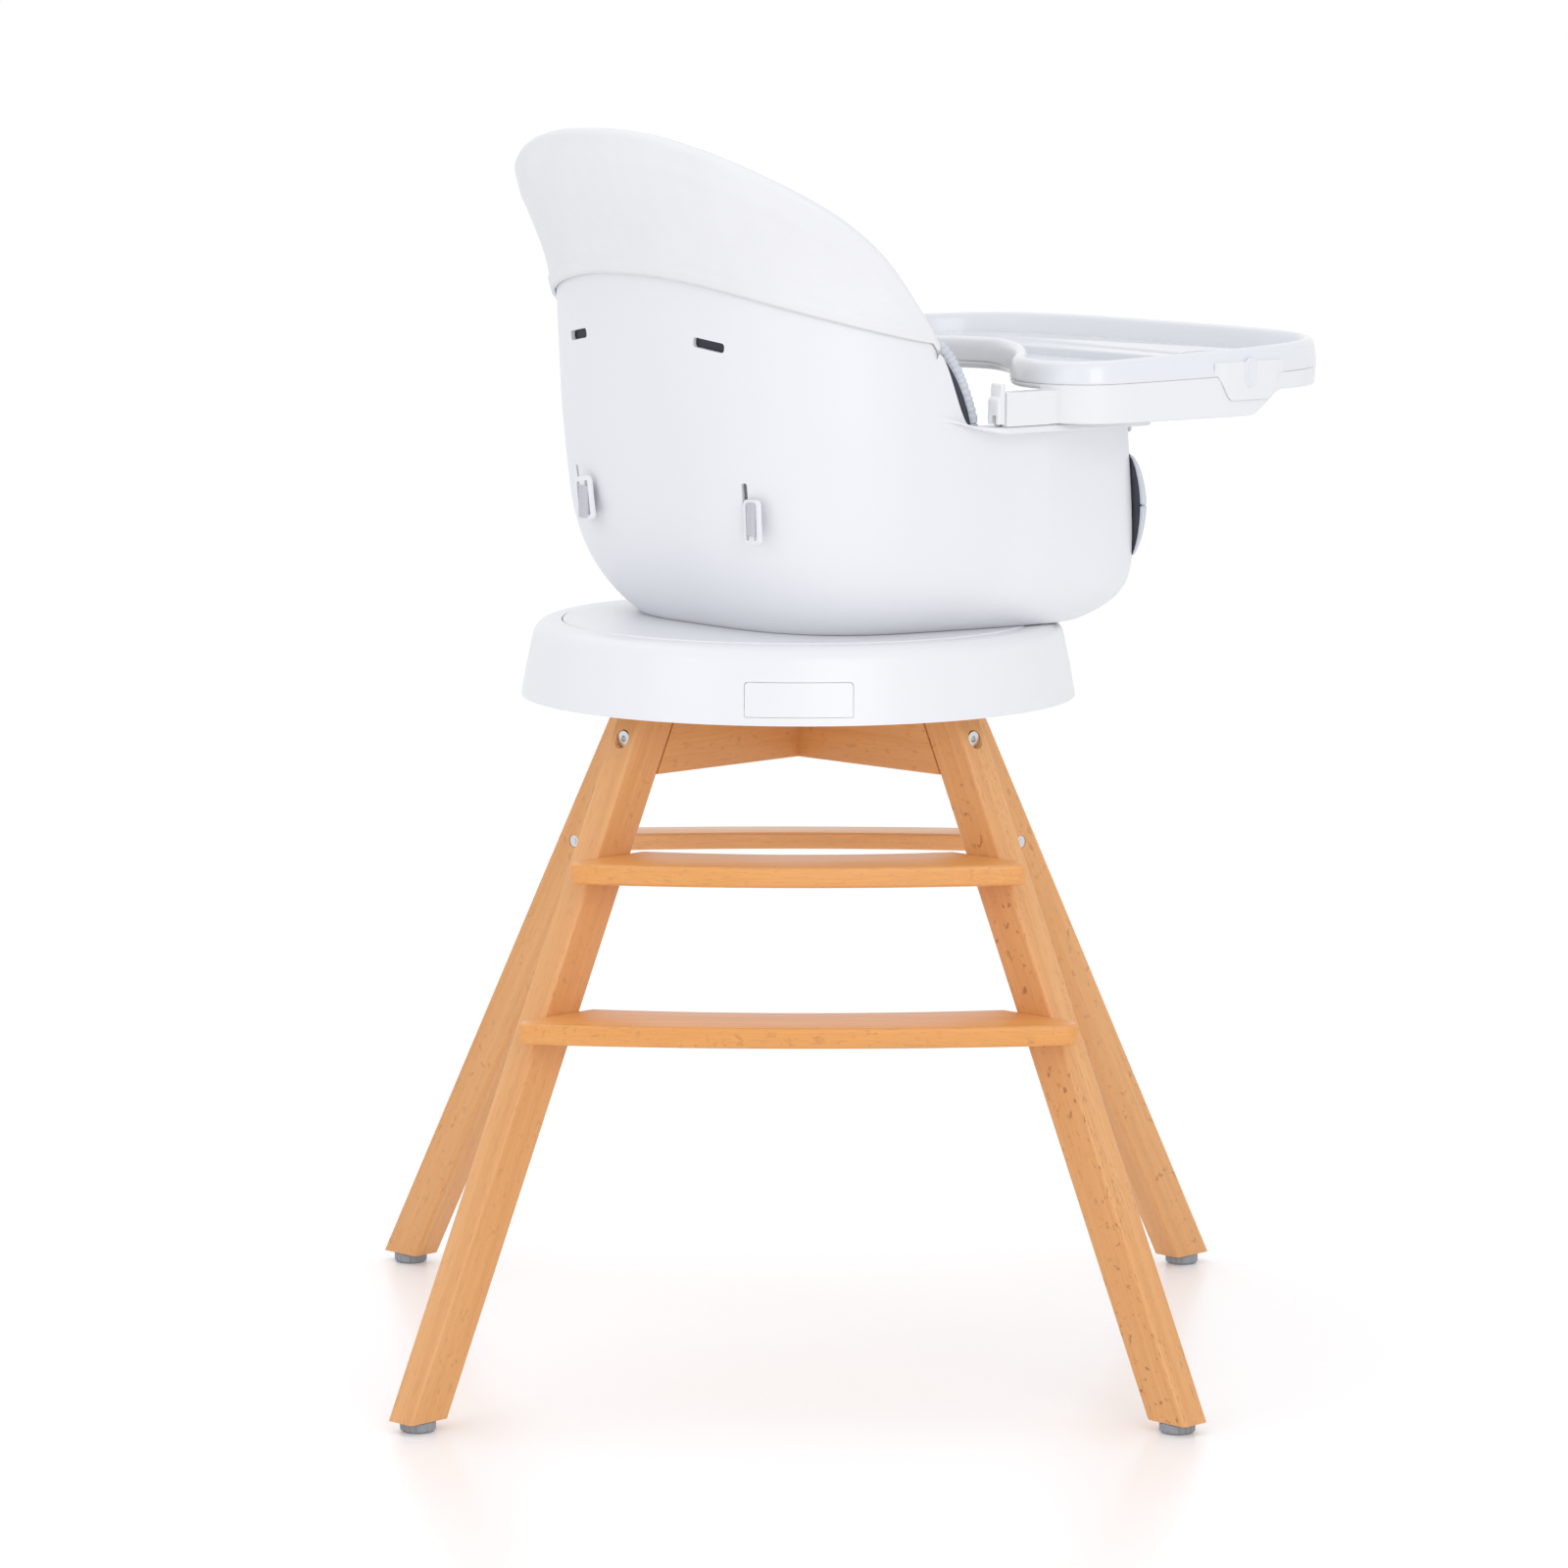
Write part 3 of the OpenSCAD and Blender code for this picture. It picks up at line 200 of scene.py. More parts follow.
# %% [markdown]
# Beech is a pale, close-grained wood. Along its length run fine pores, drawn here as short dark
# dashes, over slow bands of growth. Its rays are thin upright plates. A face cut along them shows
# them broadside as dark flecks, and a face cut across them only as fine ticks. The grain follows
# the piece, so each piece turns the pattern to its own long axis with a Mapping node.

# %% Beech
def stretched(tree, vector, across, along, detail=2.0, distortion=0.0):
    """Noise drawn out along local Z: fine across the grain, long with it."""
    return noise(tree, mapped(tree, vector, Scale=(across, across, along)), 1.0, detail,
                 Roughness=0.6, Distortion=distortion)


beech_wood, w_in, w_out = new_group("beech wood", {"Vector": None, "Rays": 0.3, "Warmth": 0.0},
                                    {"Colour": "Color", "Roughness": "Float", "Height": "Float"})
source = w_in.outputs["Vector"]
bands = stretched(beech_wood, source, 48.0, 1.3, 3.0, 0.8)
fibres = stretched(beech_wood, source, 520.0, 9.0)
pores = stretched(beech_wood, source, 900.0, 70.0, 1.0)
patches = stretched(beech_wood, source, 9.0, 2.2)
ray_plates = noise(beech_wood, mapped(beech_wood, source, Scale=(170.0, 1400.0, 130.0)), 1.0, 3.0,
                   Roughness=0.5, Distortion=0.4)
ray_zones = ramp(beech_wood, stretched(beech_wood, source, 60.0, 14.0, 1.0), 0.42, 0.58, 0.15, 1.0)
ray_mask = maths(beech_wood, "MULTIPLY", ramp(beech_wood, ray_plates, 0.60, 0.66), w_in.outputs["Rays"])
ray_mask = maths(beech_wood, "MULTIPLY", ray_mask, ray_zones)
tone = (0.84, 0.44, 0.175)
for mask, colour in ((ramp(beech_wood, bands, 0.3, 0.7), (0.73, 0.335, 0.11)),
                     (w_in.outputs["Warmth"], (0.86, 0.36, 0.075)),
                     (ramp(beech_wood, patches, 0.35, 0.7, 0.0, 0.3), (0.87, 0.50, 0.23)),
                     (ramp(beech_wood, fibres, 0.35, 0.75, 0.0, 0.35), (0.62, 0.27, 0.085)),
                     (ramp(beech_wood, pores, 0.62, 0.72, 0.0, 0.45), (0.52, 0.24, 0.09)),
                     (ray_mask, (0.42, 0.17, 0.05))):
    tone = mix_colour(beech_wood, mask, tone, colour)
feed(beech_wood, w_out, Colour=tone, Roughness=ramp(beech_wood, fibres, 0.3, 0.7, 0.30, 0.42), Height=pores)


def beech(node, turn, ray_share, offset, warmth=0.15):
    """Lacquered beech for one node; its grain runs along the direction that `turn` brings to Z."""
    material, tree, shader = new_material("beech " + node.replace("_", " "),
                                          Coat_Weight=0.2, Coat_Roughness=0.2)
    place = mapped(tree, here(tree), Rotation=turn, Location=offset)
    wood = place_group(tree, beech_wood, Vector=place, Rays=ray_share, Warmth=warmth)
    feed(tree, shader, Base_Color=wood["Colour"], Roughness=wood["Roughness"])
    emboss(tree, shader, wood["Height"], 0.12, 0.0003)
    return material


print("beech group with", len(beech_wood.nodes), "nodes")

# %% [markdown]
# Zinc-plated steel is bright with faint blue and yellow clouds. Coated fabric, like soft leather,
# has a pebble grain of small cells and broad soft creases. Webbing is two crossed sets of ribs.

# %% Steel, leather and webbing
def zinc(name):
    """Bright zinc plate: metallic, with a cloudy tint and fine scratches in the roughness."""
    material, tree, shader = new_material(name, Metallic=1.0)
    clouds = noise(tree, here(tree), 140.0, 3.0)
    scratches = stretched(tree, here(tree), 1800.0, 120.0)
    feed(tree, shader, Base_Color=mix_colour(tree, clouds, (0.66, 0.68, 0.72), (0.74, 0.73, 0.68)),
         Roughness=ramp(tree, scratches, 0.3, 0.7, 0.22, 0.38))
    return material


pebble, p_in, p_out = new_group("pebble grain", {"Vector": None, "Cells": 700.0},
                                {"Height": "Float", "Creases": "Float"})
cells = add_node(pebble, "ShaderNodeTexVoronoi", feature="SMOOTH_F1",
                 inputs={"Vector": p_in.outputs["Vector"], "Scale": p_in.outputs["Cells"]})
# The crease mask sets the fabrics' gloss and places their painted shade.
creases = noise(pebble, p_in.outputs["Vector"], 14.0, 4.0, Distortion=0.8)
feed(pebble, p_out, Height=cells.outputs["Distance"], Creases=ramp(pebble, creases, 0.35, 0.7))


def coated_fabric(name, light, dark, roughness):
    """Soft coated fabric: pebble grain in the bump, creases in gloss, and painted shade that darkens the
    colour in the creases.
    """
    material, tree, shader = new_material(name)
    grain = place_group(tree, pebble, Vector=here(tree), Cells=620.0)
    # The second, darker colour fills the creases as painted shade.
    feed(tree, shader, Base_Color=mix_colour(tree, grain["Creases"], light, dark),
         Roughness=ramp(tree, grain["Creases"], 0, 1, roughness, roughness + 0.08))
    emboss(tree, shader, grain["Height"], 0.25, 0.0004)
    return material


def woven(name, light, dark, pitch):
    """Webbing on the piece's own UV map, raised on the ribs, with painted shade darkening the colour between
    them.
    """
    material, tree, shader = new_material(name, Roughness=0.75)
    uv = here(tree, "UV")
    warp, weft = [add_node(tree, "ShaderNodeTexWave", bands_direction=axis,
                           inputs={"Vector": uv, "Scale": pitch}).outputs["Fac"] for axis in "XY"]
    ribs = maths(tree, "MULTIPLY", warp, weft)
    # The darker colour between the ribs is painted shade.
    feed(tree, shader, Base_Color=mix_colour(tree, ribs, dark, light))
    emboss(tree, shader, ribs, 0.6, 0.0004)
    return material


steel = zinc("zinc steel")
# Each fabric's second, darker colour is its painted shade in the creases.
liner_white = coated_fabric("liner white", (0.86, 0.858, 0.87), (0.845, 0.845, 0.858), 0.45)
piping_blue = coated_fabric("piping blue grey", (0.68, 0.71, 0.77), (0.58, 0.61, 0.68), 0.5)
# Almost black: painted shade for the pad's back, the wings' sides and what shows behind the slots.
painted_shade_dark = coated_fabric("underside painted shade", (0.050, 0.053, 0.072), (0.036, 0.039, 0.054), 0.7)
# The liner's white, darkened and warmed as painted shade for the pad's inside, which lies in the shade under
# the tray.
liner_painted_shade = coated_fabric("liner inside painted shade", (0.66, 0.645, 0.63), (0.63, 0.615, 0.60), 0.5)
web = woven("harness webbing", (0.74, 0.75, 0.77), (0.52, 0.54, 0.57), 220.0)
print("soft materials ready")

# %% [markdown]
# The CAD pieces that are already right keep their meshes. A Geometry Nodes modifier merges their
# loose triangles and shades them smooth, except over edges sharper than 28 degrees. Each mesh could
# be shaded by itself, but one node group serves all, and the new pieces use it too.

# %% Smooth shading for CAD nodes
CRISP_EDGE = math.radians(28)
smoothing = bpy.data.node_groups.new("smooth by angle", "GeometryNodeTree")
for direction in ("INPUT", "OUTPUT"):
    smoothing.interface.new_socket("Geometry", in_out=direction, socket_type="NodeSocketGeometry")
s_in, s_out = smoothing.nodes.new("NodeGroupInput"), smoothing.nodes.new("NodeGroupOutput")
merged = add_node(smoothing, "GeometryNodeMergeByDistance",
                  inputs={"Geometry": s_in.outputs[0], "Distance": 0.00001})
faces = add_node(smoothing, "GeometryNodeSetShadeSmooth",
                 inputs={"Geometry": merged.outputs[0], "Shade Smooth": True})
angle = smoothing.nodes.new("GeometryNodeInputMeshEdgeAngle")
blunt = add_node(smoothing, "FunctionNodeCompare", operation="LESS_THAN",
                 inputs={0: angle.outputs[0], 1: CRISP_EDGE})
edges = add_node(smoothing, "GeometryNodeSetShadeSmooth", domain="EDGE",
                 inputs={"Geometry": faces.outputs[0], "Shade Smooth": blunt.outputs[0]})
smoothing.links.new(edges.outputs[0], s_out.inputs[0])


def sharpen(piece):
    """Keeps edges sharper than the angle crisp and everything else smooth."""
    piece.modifiers.new("smooth by angle", "NODES").node_group = smoothing
    return piece


def round_edges(piece, width):
    """Rounds a piece's sharp edges by a bevel of the given width in metres."""
    rounding = piece.modifiers.new("rounded edges", "BEVEL")
    rounding.width, rounding.segments, rounding.limit_method = width, 3, "ANGLE"
    return piece


def finish_cad(node, material):
    """Gives a CAD node its material and the smoothing modifier."""
    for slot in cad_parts[node].material_slots:
        slot.material = material
    return sharpen(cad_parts[node])


for finish, nodes in (
        (steel, ("leg_bolts", "barrel_nuts", "step_screws", "foot_inserts", "housing_screws", "lock_spring",
                 "pivot_washer", "pivot_screw", "shell_screws")),
        (foot_grey, ("foot_front_left", "foot_front_right", "foot_rear_left", "foot_rear_right")),
        (hidden_grey, ("glide_ring", "lock_bolt", "harness_buckle", "harness_button")),
        (housing_white, ("housing_ring", "base_plate", "lock_panel", "turntable")),
        (tray_white, ("tray_arm_left", "tray_arm_right"))):
    for node in nodes:
        finish_cad(node, finish)
for node in ("tray_arm_left", "tray_arm_right"):
    round_edges(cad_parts[node], 0.0012)
print("smoothed CAD nodes")

# %% [markdown]
# Each leg leans out along its diagonal. Its grain runs up the leg, so the pattern is turned by the
# leg's own tilt and heading. Real legs come from different boards, so each gets its own offset.

# %% Legs and beams
HOUSING_Z, HEAD_REACH, FRONT_REACH, REAR_REACH = 532, 184, 432, 493


def splay(reach):
    """How far a leg's outer face moves inwards for each millimetre up."""
    return (reach - HEAD_REACH) / HOUSING_Z


def grain_turn(tilt, heading):
    """Rotation that brings a tilted, headed piece's long axis to Z."""
    turn = Matrix.Rotation(tilt, 3, "Y") @ Matrix.Rotation(-math.radians(heading), 3, "Z")
    return tuple(turn.to_euler())


for index, (node, heading, reach, ray_share) in enumerate((
        ("leg_front_left", 225, FRONT_REACH, 0.25), ("leg_front_right", 315, FRONT_REACH, 0.9),
        ("leg_rear_left", 135, REAR_REACH, 0.4), ("leg_rear_right", 45, REAR_REACH, 0.5))):
    finish_cad(node, beech(node, grain_turn(math.atan(splay(reach)), heading), ray_share,
                           (0.37 * index, 0.21 * index, 0.13 * index)))
for index, (node, heading) in enumerate((("cross_beam_a", 45), ("cross_beam_b", 135))):
    finish_cad(node, beech(node, grain_turn(math.pi / 2, heading), 0.3, (1.3 + index, 0.7, 0.2)))
print("legs and beams have their own grain")

# %% [markdown]
# The shell's curves come from a few formulas. Seen from above, its outline is a superellipse: square
# in front, rounder behind. The wall leans and flares with height, and tucks in towards its foot.
# All lengths here are in millimetres, in a frame where the seat faces +X.

# %% Shell formulas
SHELL_Z, ARM_Z, SIDE_Z, BACK_Z, LIP_Z = 592.0, 755.0, 812.0, 974.0, 640.0
SHELL_FRONT, SHELL_BACK, SHELL_HALF = 226.0, 147.0, 196.0
FALL_X, FALL_RUN, ARM_START, ARM_END = -18.0, 34.0, 16.0, SHELL_FRONT * 0.8
WALL, RIM_FLARE, FLOOR_T, FLOOR_TILT = 3.5, 24.0, 14.0, 0.03
SEAT_TURN = math.radians(38)


def smooth(x):
    """Smooth step: 3t^2 - 2t^3 with t held between 0 and 1."""
    t = np.clip(x, 0, 1)
    return t * t * (3 - 2 * t)


def bell(x, width):
    """Bell curve: e to the minus (x / width) squared."""
    return np.exp(-(x / width) ** 2)


def unit(v):
    """Vectors scaled to length 1."""
    return v / np.linalg.norm(v, axis=-1)[..., None]


def superellipse(a, front, back, half, front_power, back_power):
    """Radius at turn a = (|cos/reach|^n + |sin/half|^n)^(-1/n), with its own reach and n each way."""
    c, s = np.cos(np.radians(a)), np.sin(np.radians(a))
    reach, n = np.where(c > 0, front, back), np.where(c > 0, front_power, back_power)
    r = (np.abs(c / reach) ** n + np.abs(s / half) ** n) ** (-1 / n)
    return np.stack([r * c, r * s], -1)


def plan_at(a):
    """The shell's outline at turn a in degrees."""
    return superellipse(a, SHELL_FRONT, SHELL_BACK, SHELL_HALF, 6.0, 2.7)


def plan_normal(a):
    """Outward normal of the outline, from the chord between one degree before and one after."""
    d = plan_at(a + 1) - plan_at(a - 1)
    return unit(np.stack([d[..., 1], -d[..., 0]], -1))


def rim(a):
    """Height of the rim: high behind, falling along the side, level at the armrest, low in front."""
    x, y = np.moveaxis(plan_at(a), -1, 0)
    from_back = np.abs(180 - np.mod(a, 360))
    high = BACK_Z - (BACK_Z - SIDE_Z) * (from_back / 84.5) ** 2.85
    fall = SIDE_Z + (ARM_Z - SIDE_Z) * smooth((x - FALL_X) / FALL_RUN)
    lip = LIP_Z + (ARM_Z - LIP_Z) * smooth((np.abs(y) - 105) / 45)
    return np.where(x < FALL_X, high, np.where(x < ARM_START, fall, np.where(x < ARM_END, ARM_Z, lip)))


def shell_at(a, z, inward):
    """Point of the wall: outline drawn in by the tuck, then moved along its normal by the swell.
    With b from 0 in front to 1 behind, the swell leans out by 7.5 percent of the height above 109 mm
    behind, adds 6 mm there between 60 and 180 mm up, leans in by 9 percent above 49 mm in front, and
    ends in the rim's flare. The tuck falls to nothing over 120 mm behind and 50 mm in front."""
    a, z, inward = np.broadcast_arrays(np.asarray(a, float), np.asarray(z, float), np.asarray(inward, float))
    b = (1 - np.cos(np.radians(a))) / 2
    h = z - SHELL_Z
    out = (0.075 * b * np.maximum(0, h - 109) + 6 * b * smooth((h - 60) / 120)
           - 0.09 * (1 - b) * np.maximum(0, h - 49) + RIM_FLARE * smooth((z - BACK_Z + 120) / 100))
    tuck = 0.36 * b * np.maximum(0, 1 - h / 120) ** 2.4 + 0.15 * (1 - b) * np.maximum(0, 1 - h / 50) ** 3.2
    p = plan_at(a) * (1 - tuck)[..., None] + plan_normal(a) * (out - inward)[..., None]
    return np.concatenate([p, z[..., None]], -1)


def floor_z(x):
    """Height of the tilted seat floor."""
    return SHELL_Z + FLOOR_T + FLOOR_TILT * x


def floor_at(a, inward, up):
    """Point of the tilted seat floor, inward of the shell's outer face."""
    p = shell_at(a, SHELL_Z + FLOOR_T, inward)
    return np.stack([p[..., 0], p[..., 1], floor_z(p[..., 0]) + up], -1)


print("rim heights at the back, side and front:",
      [round(float(rim(np.array(t))), 1) for t in (180.0, 90.0, 0.0)])

# %% [markdown]
# Every formed piece is a loft: rings of equally many points, joined by quads. The rings are arrays,
# so a whole piece is built at once. A fan of triangles to the middle closes an end, or a flat face.

# %% Loft helpers
def turned(points, angle):
    """Turns points about the vertical axis."""
    c, s = math.cos(angle), math.sin(angle)
    x, y, z = np.moveaxis(points, -1, 0)
    return np.stack([x * c - y * s, x * s + y * c, z], -1)


def to_world(points):
    """Turns seat coordinates by 38 degrees about the swivel axis, and millimetres into metres."""
    return turned(points, SEAT_TURN) * 0.001


def at_height(plan, z):
    """Adds a height, one for all or one for each, to points of a plan."""
    return np.concatenate([plan, np.broadcast_to(z, len(plan))[:, None]], 1)


def run_length(path):
    """Distance along a path at each of its points."""
    return np.concatenate([[0], np.cumsum(np.linalg.norm(np.diff(path, axis=0), axis=1))])


def circle(step):
    """Points of the unit circle, one every `step` degrees."""
    turn = np.radians(np.arange(0, 360, step))
    return np.stack([np.cos(turn), np.sin(turn)], -1)


def walls(count, around):
    """Quads between neighbouring rings."""
    ring, point = np.meshgrid(np.arange(count - 1), np.arange(around), indexing="ij")
    a, b = ring * around + point, ring * around + (point + 1) % around
    return np.stack([a, b, b + around, a + around], -1).reshape(-1, 4).tolist()


def link_mesh(name, points, faces):
    """A new object in the scene from an array of points and a list of faces."""
    mesh = bpy.data.meshes.new(name)
    mesh.from_pydata(points.reshape(-1, 3).tolist(), [], faces)
    piece = bpy.data.objects.new(name, mesh)
    bpy.context.scene.collection.objects.link(piece)
    return piece


def flat_ends(count, around):
    """One face over the first ring and one over the last."""
    i = np.arange(around)
    return [i[::-1].tolist(), (i + (count - 1) * around).tolist()]


def loft(name, rings, body, replaced, materials, capped=True, material_of_ring=None):
    """Joins rings (ring, point, xyz) into a smooth piece with its faces outwards, and declares what
    it rides on and replaces. The ends get a fan, one flat face each ("flat"), or nothing."""
    count, around = rings.shape[:2]
    points, ends = to_world(rings).reshape(-1, 3), []
    if capped == "flat":
        ends = flat_ends(count, around)
    elif capped:
        i, last = np.arange(around), (count - 1) * around
        j, middle = np.roll(i, -1), np.full(around, len(points))
        fans = [np.stack([j, i, middle], -1), np.stack([i + last, j + last, middle + 1], -1)]
        ends = np.concatenate(fans).tolist()
        points = np.concatenate([points, [points[:around].mean(0), points[-around:].mean(0)]])
    piece = link_mesh(name, points, walls(count, around) + ends)
    mesh = piece.data
    for material in materials:
        mesh.materials.append(material)
    mesh.polygons.foreach_set("use_smooth", np.ones(len(mesh.polygons), bool))
    if material_of_ring is not None:
        of_face = np.concatenate([np.repeat(material_of_ring, around),
                                  np.repeat([material_of_ring[0], material_of_ring[-1]], len(ends) // 2)])
        mesh.polygons.foreach_set("material_index", of_face.astype(np.int32))
    mesh.validate()
    solid = bmesh.new()
    solid.from_mesh(mesh)
    if solid.calc_volume(signed=True) < 0:
        mesh.flip_normals()
    solid.free()
    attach(piece, body)
    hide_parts(*replaced)
    return piece


def plate(name, outline, low, high, body, replaced, material, bevel):
    """An upright plate from an outline in seat coordinates, its edges rounded by a bevel."""
    rings = np.stack([at_height(outline, z) for z in (low, high)])
    return round_edges(loft(name, rings, body, replaced, [material], capped="flat"), bevel)


def tube(name, path, radius, replaced, gather=0.0):
    """A bound edge around a path. Gathers are slanting waves of its radius, every 5 mm."""
    along = unit(np.gradient(path, axis=0))
    side = unit(np.cross(along, [0.0, 0.0, 1.0]))
    up = np.cross(side, along)
    length, ring = run_length(path)[:, None], np.radians(np.arange(0, 360, 20))
    wave = np.sin(length * 1.25 + ring * np.sign(gather) + 0.8 * np.sin(length * 0.31))
    radius = radius[:, None] * (1 + abs(gather) * wave)
    spokes = np.cos(ring)[None, :, None] * side[:, None] + np.sin(ring)[None, :, None] * up[:, None]
    return loft(name, path[:, None] + radius[..., None] * spokes, "seat", replaced,
                [piping_blue])


print("loft helpers ready")

# %% [markdown]
# The shell is one closed surface: up the outside, over a rounded rim, down the inside and across
# the floor. Two soft ridges and two creases run up each side wall, which stiffen a real moulding.
# The four strap slots are cut through it afterwards.

# %% Seat shell
RIM_ROUND, CORNER_R, FOOT_ROUND = 1.8, 4, 0.8
quarter = np.concatenate([np.arange(0, 36, 1.5), np.arange(36, 96, 0.5), np.arange(96, 180, 1.5)])
turns = np.concatenate([quarter, [180.0], 360 - quarter[:0:-1]])


def side_relief(a, z):
    """Relief of the side walls in mm outward: ridges and creases that zigzag along the wall, faded
    out at its foot and below the armrest, and a quarter circle's flare right under the armrest."""
    x, y = plan_at(a).T
    beside = smooth((np.abs(y) - 150) / 30)
    pleat = np.interp(x, [-40, 16, 63, 95, 143, 178], [0, 0.9, -0.9, 0.8, -1.0, 0])
    level = smooth((z - SHELL_Z - 8) / 30) * (1 - smooth((z - ARM_Z + 14) / 12))
    v = np.clip((z - ARM_Z + 11) / 11, 0, 1) * beside * smooth((x - 10) / 25)
    return pleat * beside * level + 6 * (1 - np.sqrt(1 - v * v * 0.98))


inner_low = floor_at(turns, WALL, 0)[:, 2] + CORNER_R
foot_z, shoulder_z = SHELL_Z + FOOT_ROUND, rim(turns) - RIM_ROUND
foot = shell_at(turns, SHELL_Z, WALL * 1.6)
recess = np.concatenate([foot[:, :2], floor_z(foot[:, :1]) - WALL], 1)
middle = recess.mean(0)
rings = [middle + (recess - middle) * share for share in (0.1, 0.5)]
rings += [recess, foot, shell_at(turns, SHELL_Z, FOOT_ROUND)]
for v in np.concatenate([[0.0], np.linspace(0.012, 0.985, 46) ** 1.15, [0.995]]):
    z = foot_z + (shoulder_z - foot_z) * v
    rings.append(shell_at(turns, z, -side_relief(turns, z)))
for turn in np.radians(np.arange(15, 180, 15)):
    rings.append(shell_at(turns, shoulder_z + WALL / 2 * math.sin(turn), WALL / 2 * (1 - math.cos(turn))))
for v in np.concatenate([[0.995], np.linspace(0.98, 0.03, 40)]):
    rings.append(shell_at(turns, inner_low + (shoulder_z - inner_low) * v, WALL))
for turn in np.radians(np.arange(0, 91, 22.5)):
    rings.append(floor_at(turns, WALL + CORNER_R * (1 - math.cos(turn)), CORNER_R * (1 - math.sin(turn))))
floor_edge, middle = rings[-1], rings[-1].mean(0)
for share in (0.8, 0.5, 0.1):
    ring = middle + (floor_edge - middle) * share
    rings.append(at_height(ring[:, :2], floor_z(ring[:, 0])))
shell = loft("shell_body", np.stack(rings), "seat", ["seat_shell"], [shell_white])
print("shell:", len(shell.data.polygons), "faces")

# %% [markdown]
# Each slot is a rounded bar set square to the wall at its place. A boolean cuts it through the
# shell. The waist slots go on through the pad, but behind the shoulder slots its back shows, painted
# almost black as shade.

# %% Strap slots
WAIST_TURN, WAIST_Z, SHOULDER_TURN, SHOULDER_Z, SHOULDER_TILT = 141.5, 692, 150, 818, 8
WAIST_SLOT, SHOULDER_SLOT = (5, 42), (31, 7.6)


def boolean(piece, operation, rings):
    """Applies one exact boolean with the solid that the rings enclose."""
    count, around = rings.shape[:2]
    other = link_mesh("scratch solid", to_world(rings), walls(count, around) + flat_ends(count, around))
    step = piece.modifiers.new("boolean", "BOOLEAN")
    step.operation, step.object, step.solver = operation, other, "EXACT"
    bpy.context.view_layer.objects.active = piece
    bpy.ops.object.modifier_apply(modifier=step.name)
    bpy.data.objects.remove(other, do_unlink=True)


def rounded_outline(width, height, r, steps=5):
    """Corner points of a rectangle whose corners are arcs of radius r, anticlockwise."""
    turn = np.radians(np.linspace(0, 90, steps))
    arc = np.stack([np.cos(turn), np.sin(turn)], 1) * r
    w, h = width / 2 - r, height / 2 - r
    return np.concatenate([arc + [w, h], arc[:, ::-1] * [-1, 1] + [-w, h], -arc + [-w, -h],
                           arc[:, ::-1] * [1, -1] + [w, -h]])


def leaned(outline, degrees):
    """Turns an outline's points anticlockwise."""
    c, s = math.cos(math.radians(degrees)), math.sin(math.radians(degrees))
    return outline @ np.array([[c, s], [-s, c]])


def slot_bar(turn, z, tilt, width, height):
    """Rings of a bar with rounded edges, 20 mm each way from the wall's outer face."""
    n = plan_normal(np.array(float(turn)))
    across, up = np.hsplit(leaned(rounded_outline(width, height, min(width, height) * 0.35), tilt), 2)
    face = shell_at(turn, z, 0) + across * [-n[1], n[0], 0] + up * [0, 0, 1]
    return np.stack([face + np.append(n, 0) * depth for depth in (-20, 20)])


def cut_slots(piece, shoulders=True):
    """Cuts the two waist slots, and the two shoulder slots if asked, and applies the cuts."""
    for side in (-1, 1):
        boolean(piece, "DIFFERENCE", slot_bar(side * WAIST_TURN, WAIST_Z, 0, *WAIST_SLOT))
        if shoulders:
            bar = slot_bar(side * SHOULDER_TURN, SHOULDER_Z, side * SHOULDER_TILT, *SHOULDER_SLOT)
            boolean(piece, "DIFFERENCE", bar)
    return piece


sharpen(cut_slots(shell))
print("slots cut:", len(shell.data.polygons), "faces in the shell")

# %% [markdown]
# A flange on each side carries the tray, with a low rail that the tray's arms slide along. It grows
# out of the falling rim, and its outer edge is rounded. Four bosses under the floor take screws.

# %% Flanges, rails and bosses
FLANGE_START, FLANGE_REACH, RAIL_MID, BOSS_REACH, BOSS_R = -17, 216, 210.0, 80, 7
station = np.concatenate([np.linspace(FLANGE_START, 60, 40), np.linspace(64, 176, 20),
                          np.linspace(178, 186.4, 8)])
wall = shell_at(np.arange(30, 110, 0.5), ARM_Z - 2, 1.5)
inner_edge = np.interp(station, wall[::-1, 0], wall[::-1, 1])
grown = [smooth((station - FLANGE_START) / run) for run in (62, 36, 56)]
reach_out = FLANGE_REACH - 19.5 * (1 - grown[0]) ** 1.2 - 8 * np.clip((station - 176) / 10.4, 0, 1) ** 2.2
upper = ARM_Z - 0.1 + 8 * (1 - grown[1])
lower = 748.8 + 11 * (1 - grown[2])
edge_section = [(0, 0), (0.7, 0), (0.93, 0.04), (0.985, 0.2), (1, 0.5), (0.985, 0.8), (0.93, 0.96),
                (0.7, 1), (0, 1)]
for side, label in SIDES:
    rings = np.stack([np.stack([station, (inner_edge + (reach_out - inner_edge) * u) * side,
                                lower + (upper - lower) * v], -1) for u, v in edge_section], 1)
    sharpen(loft("armrest_flange_" + label, rings, "seat", ["seat_shell"], [shell_white],
                 capped="flat"))
    rail = np.array([[44, 208], [174, 208], [174, 212], [44, 212]]) * [1, side]
    plate("tray_rail_" + label, rail, 754, 763, "seat", ["seat_shell"], shell_white, 0.0008)
for index, place in enumerate(circle(90)):
    centre = BOSS_REACH * np.array([place[0] - place[1], place[0] + place[1]]) / math.sqrt(2)
    boss_top = floor_z(centre[0]) - WALL / 2
    plate("shell_boss_%d" % index, centre + BOSS_R * circle(10), SHELL_Z, boss_top, "seat",
          ["seat_shell"], shell_white, 0.0004)
print("flanges, rails and bosses made")

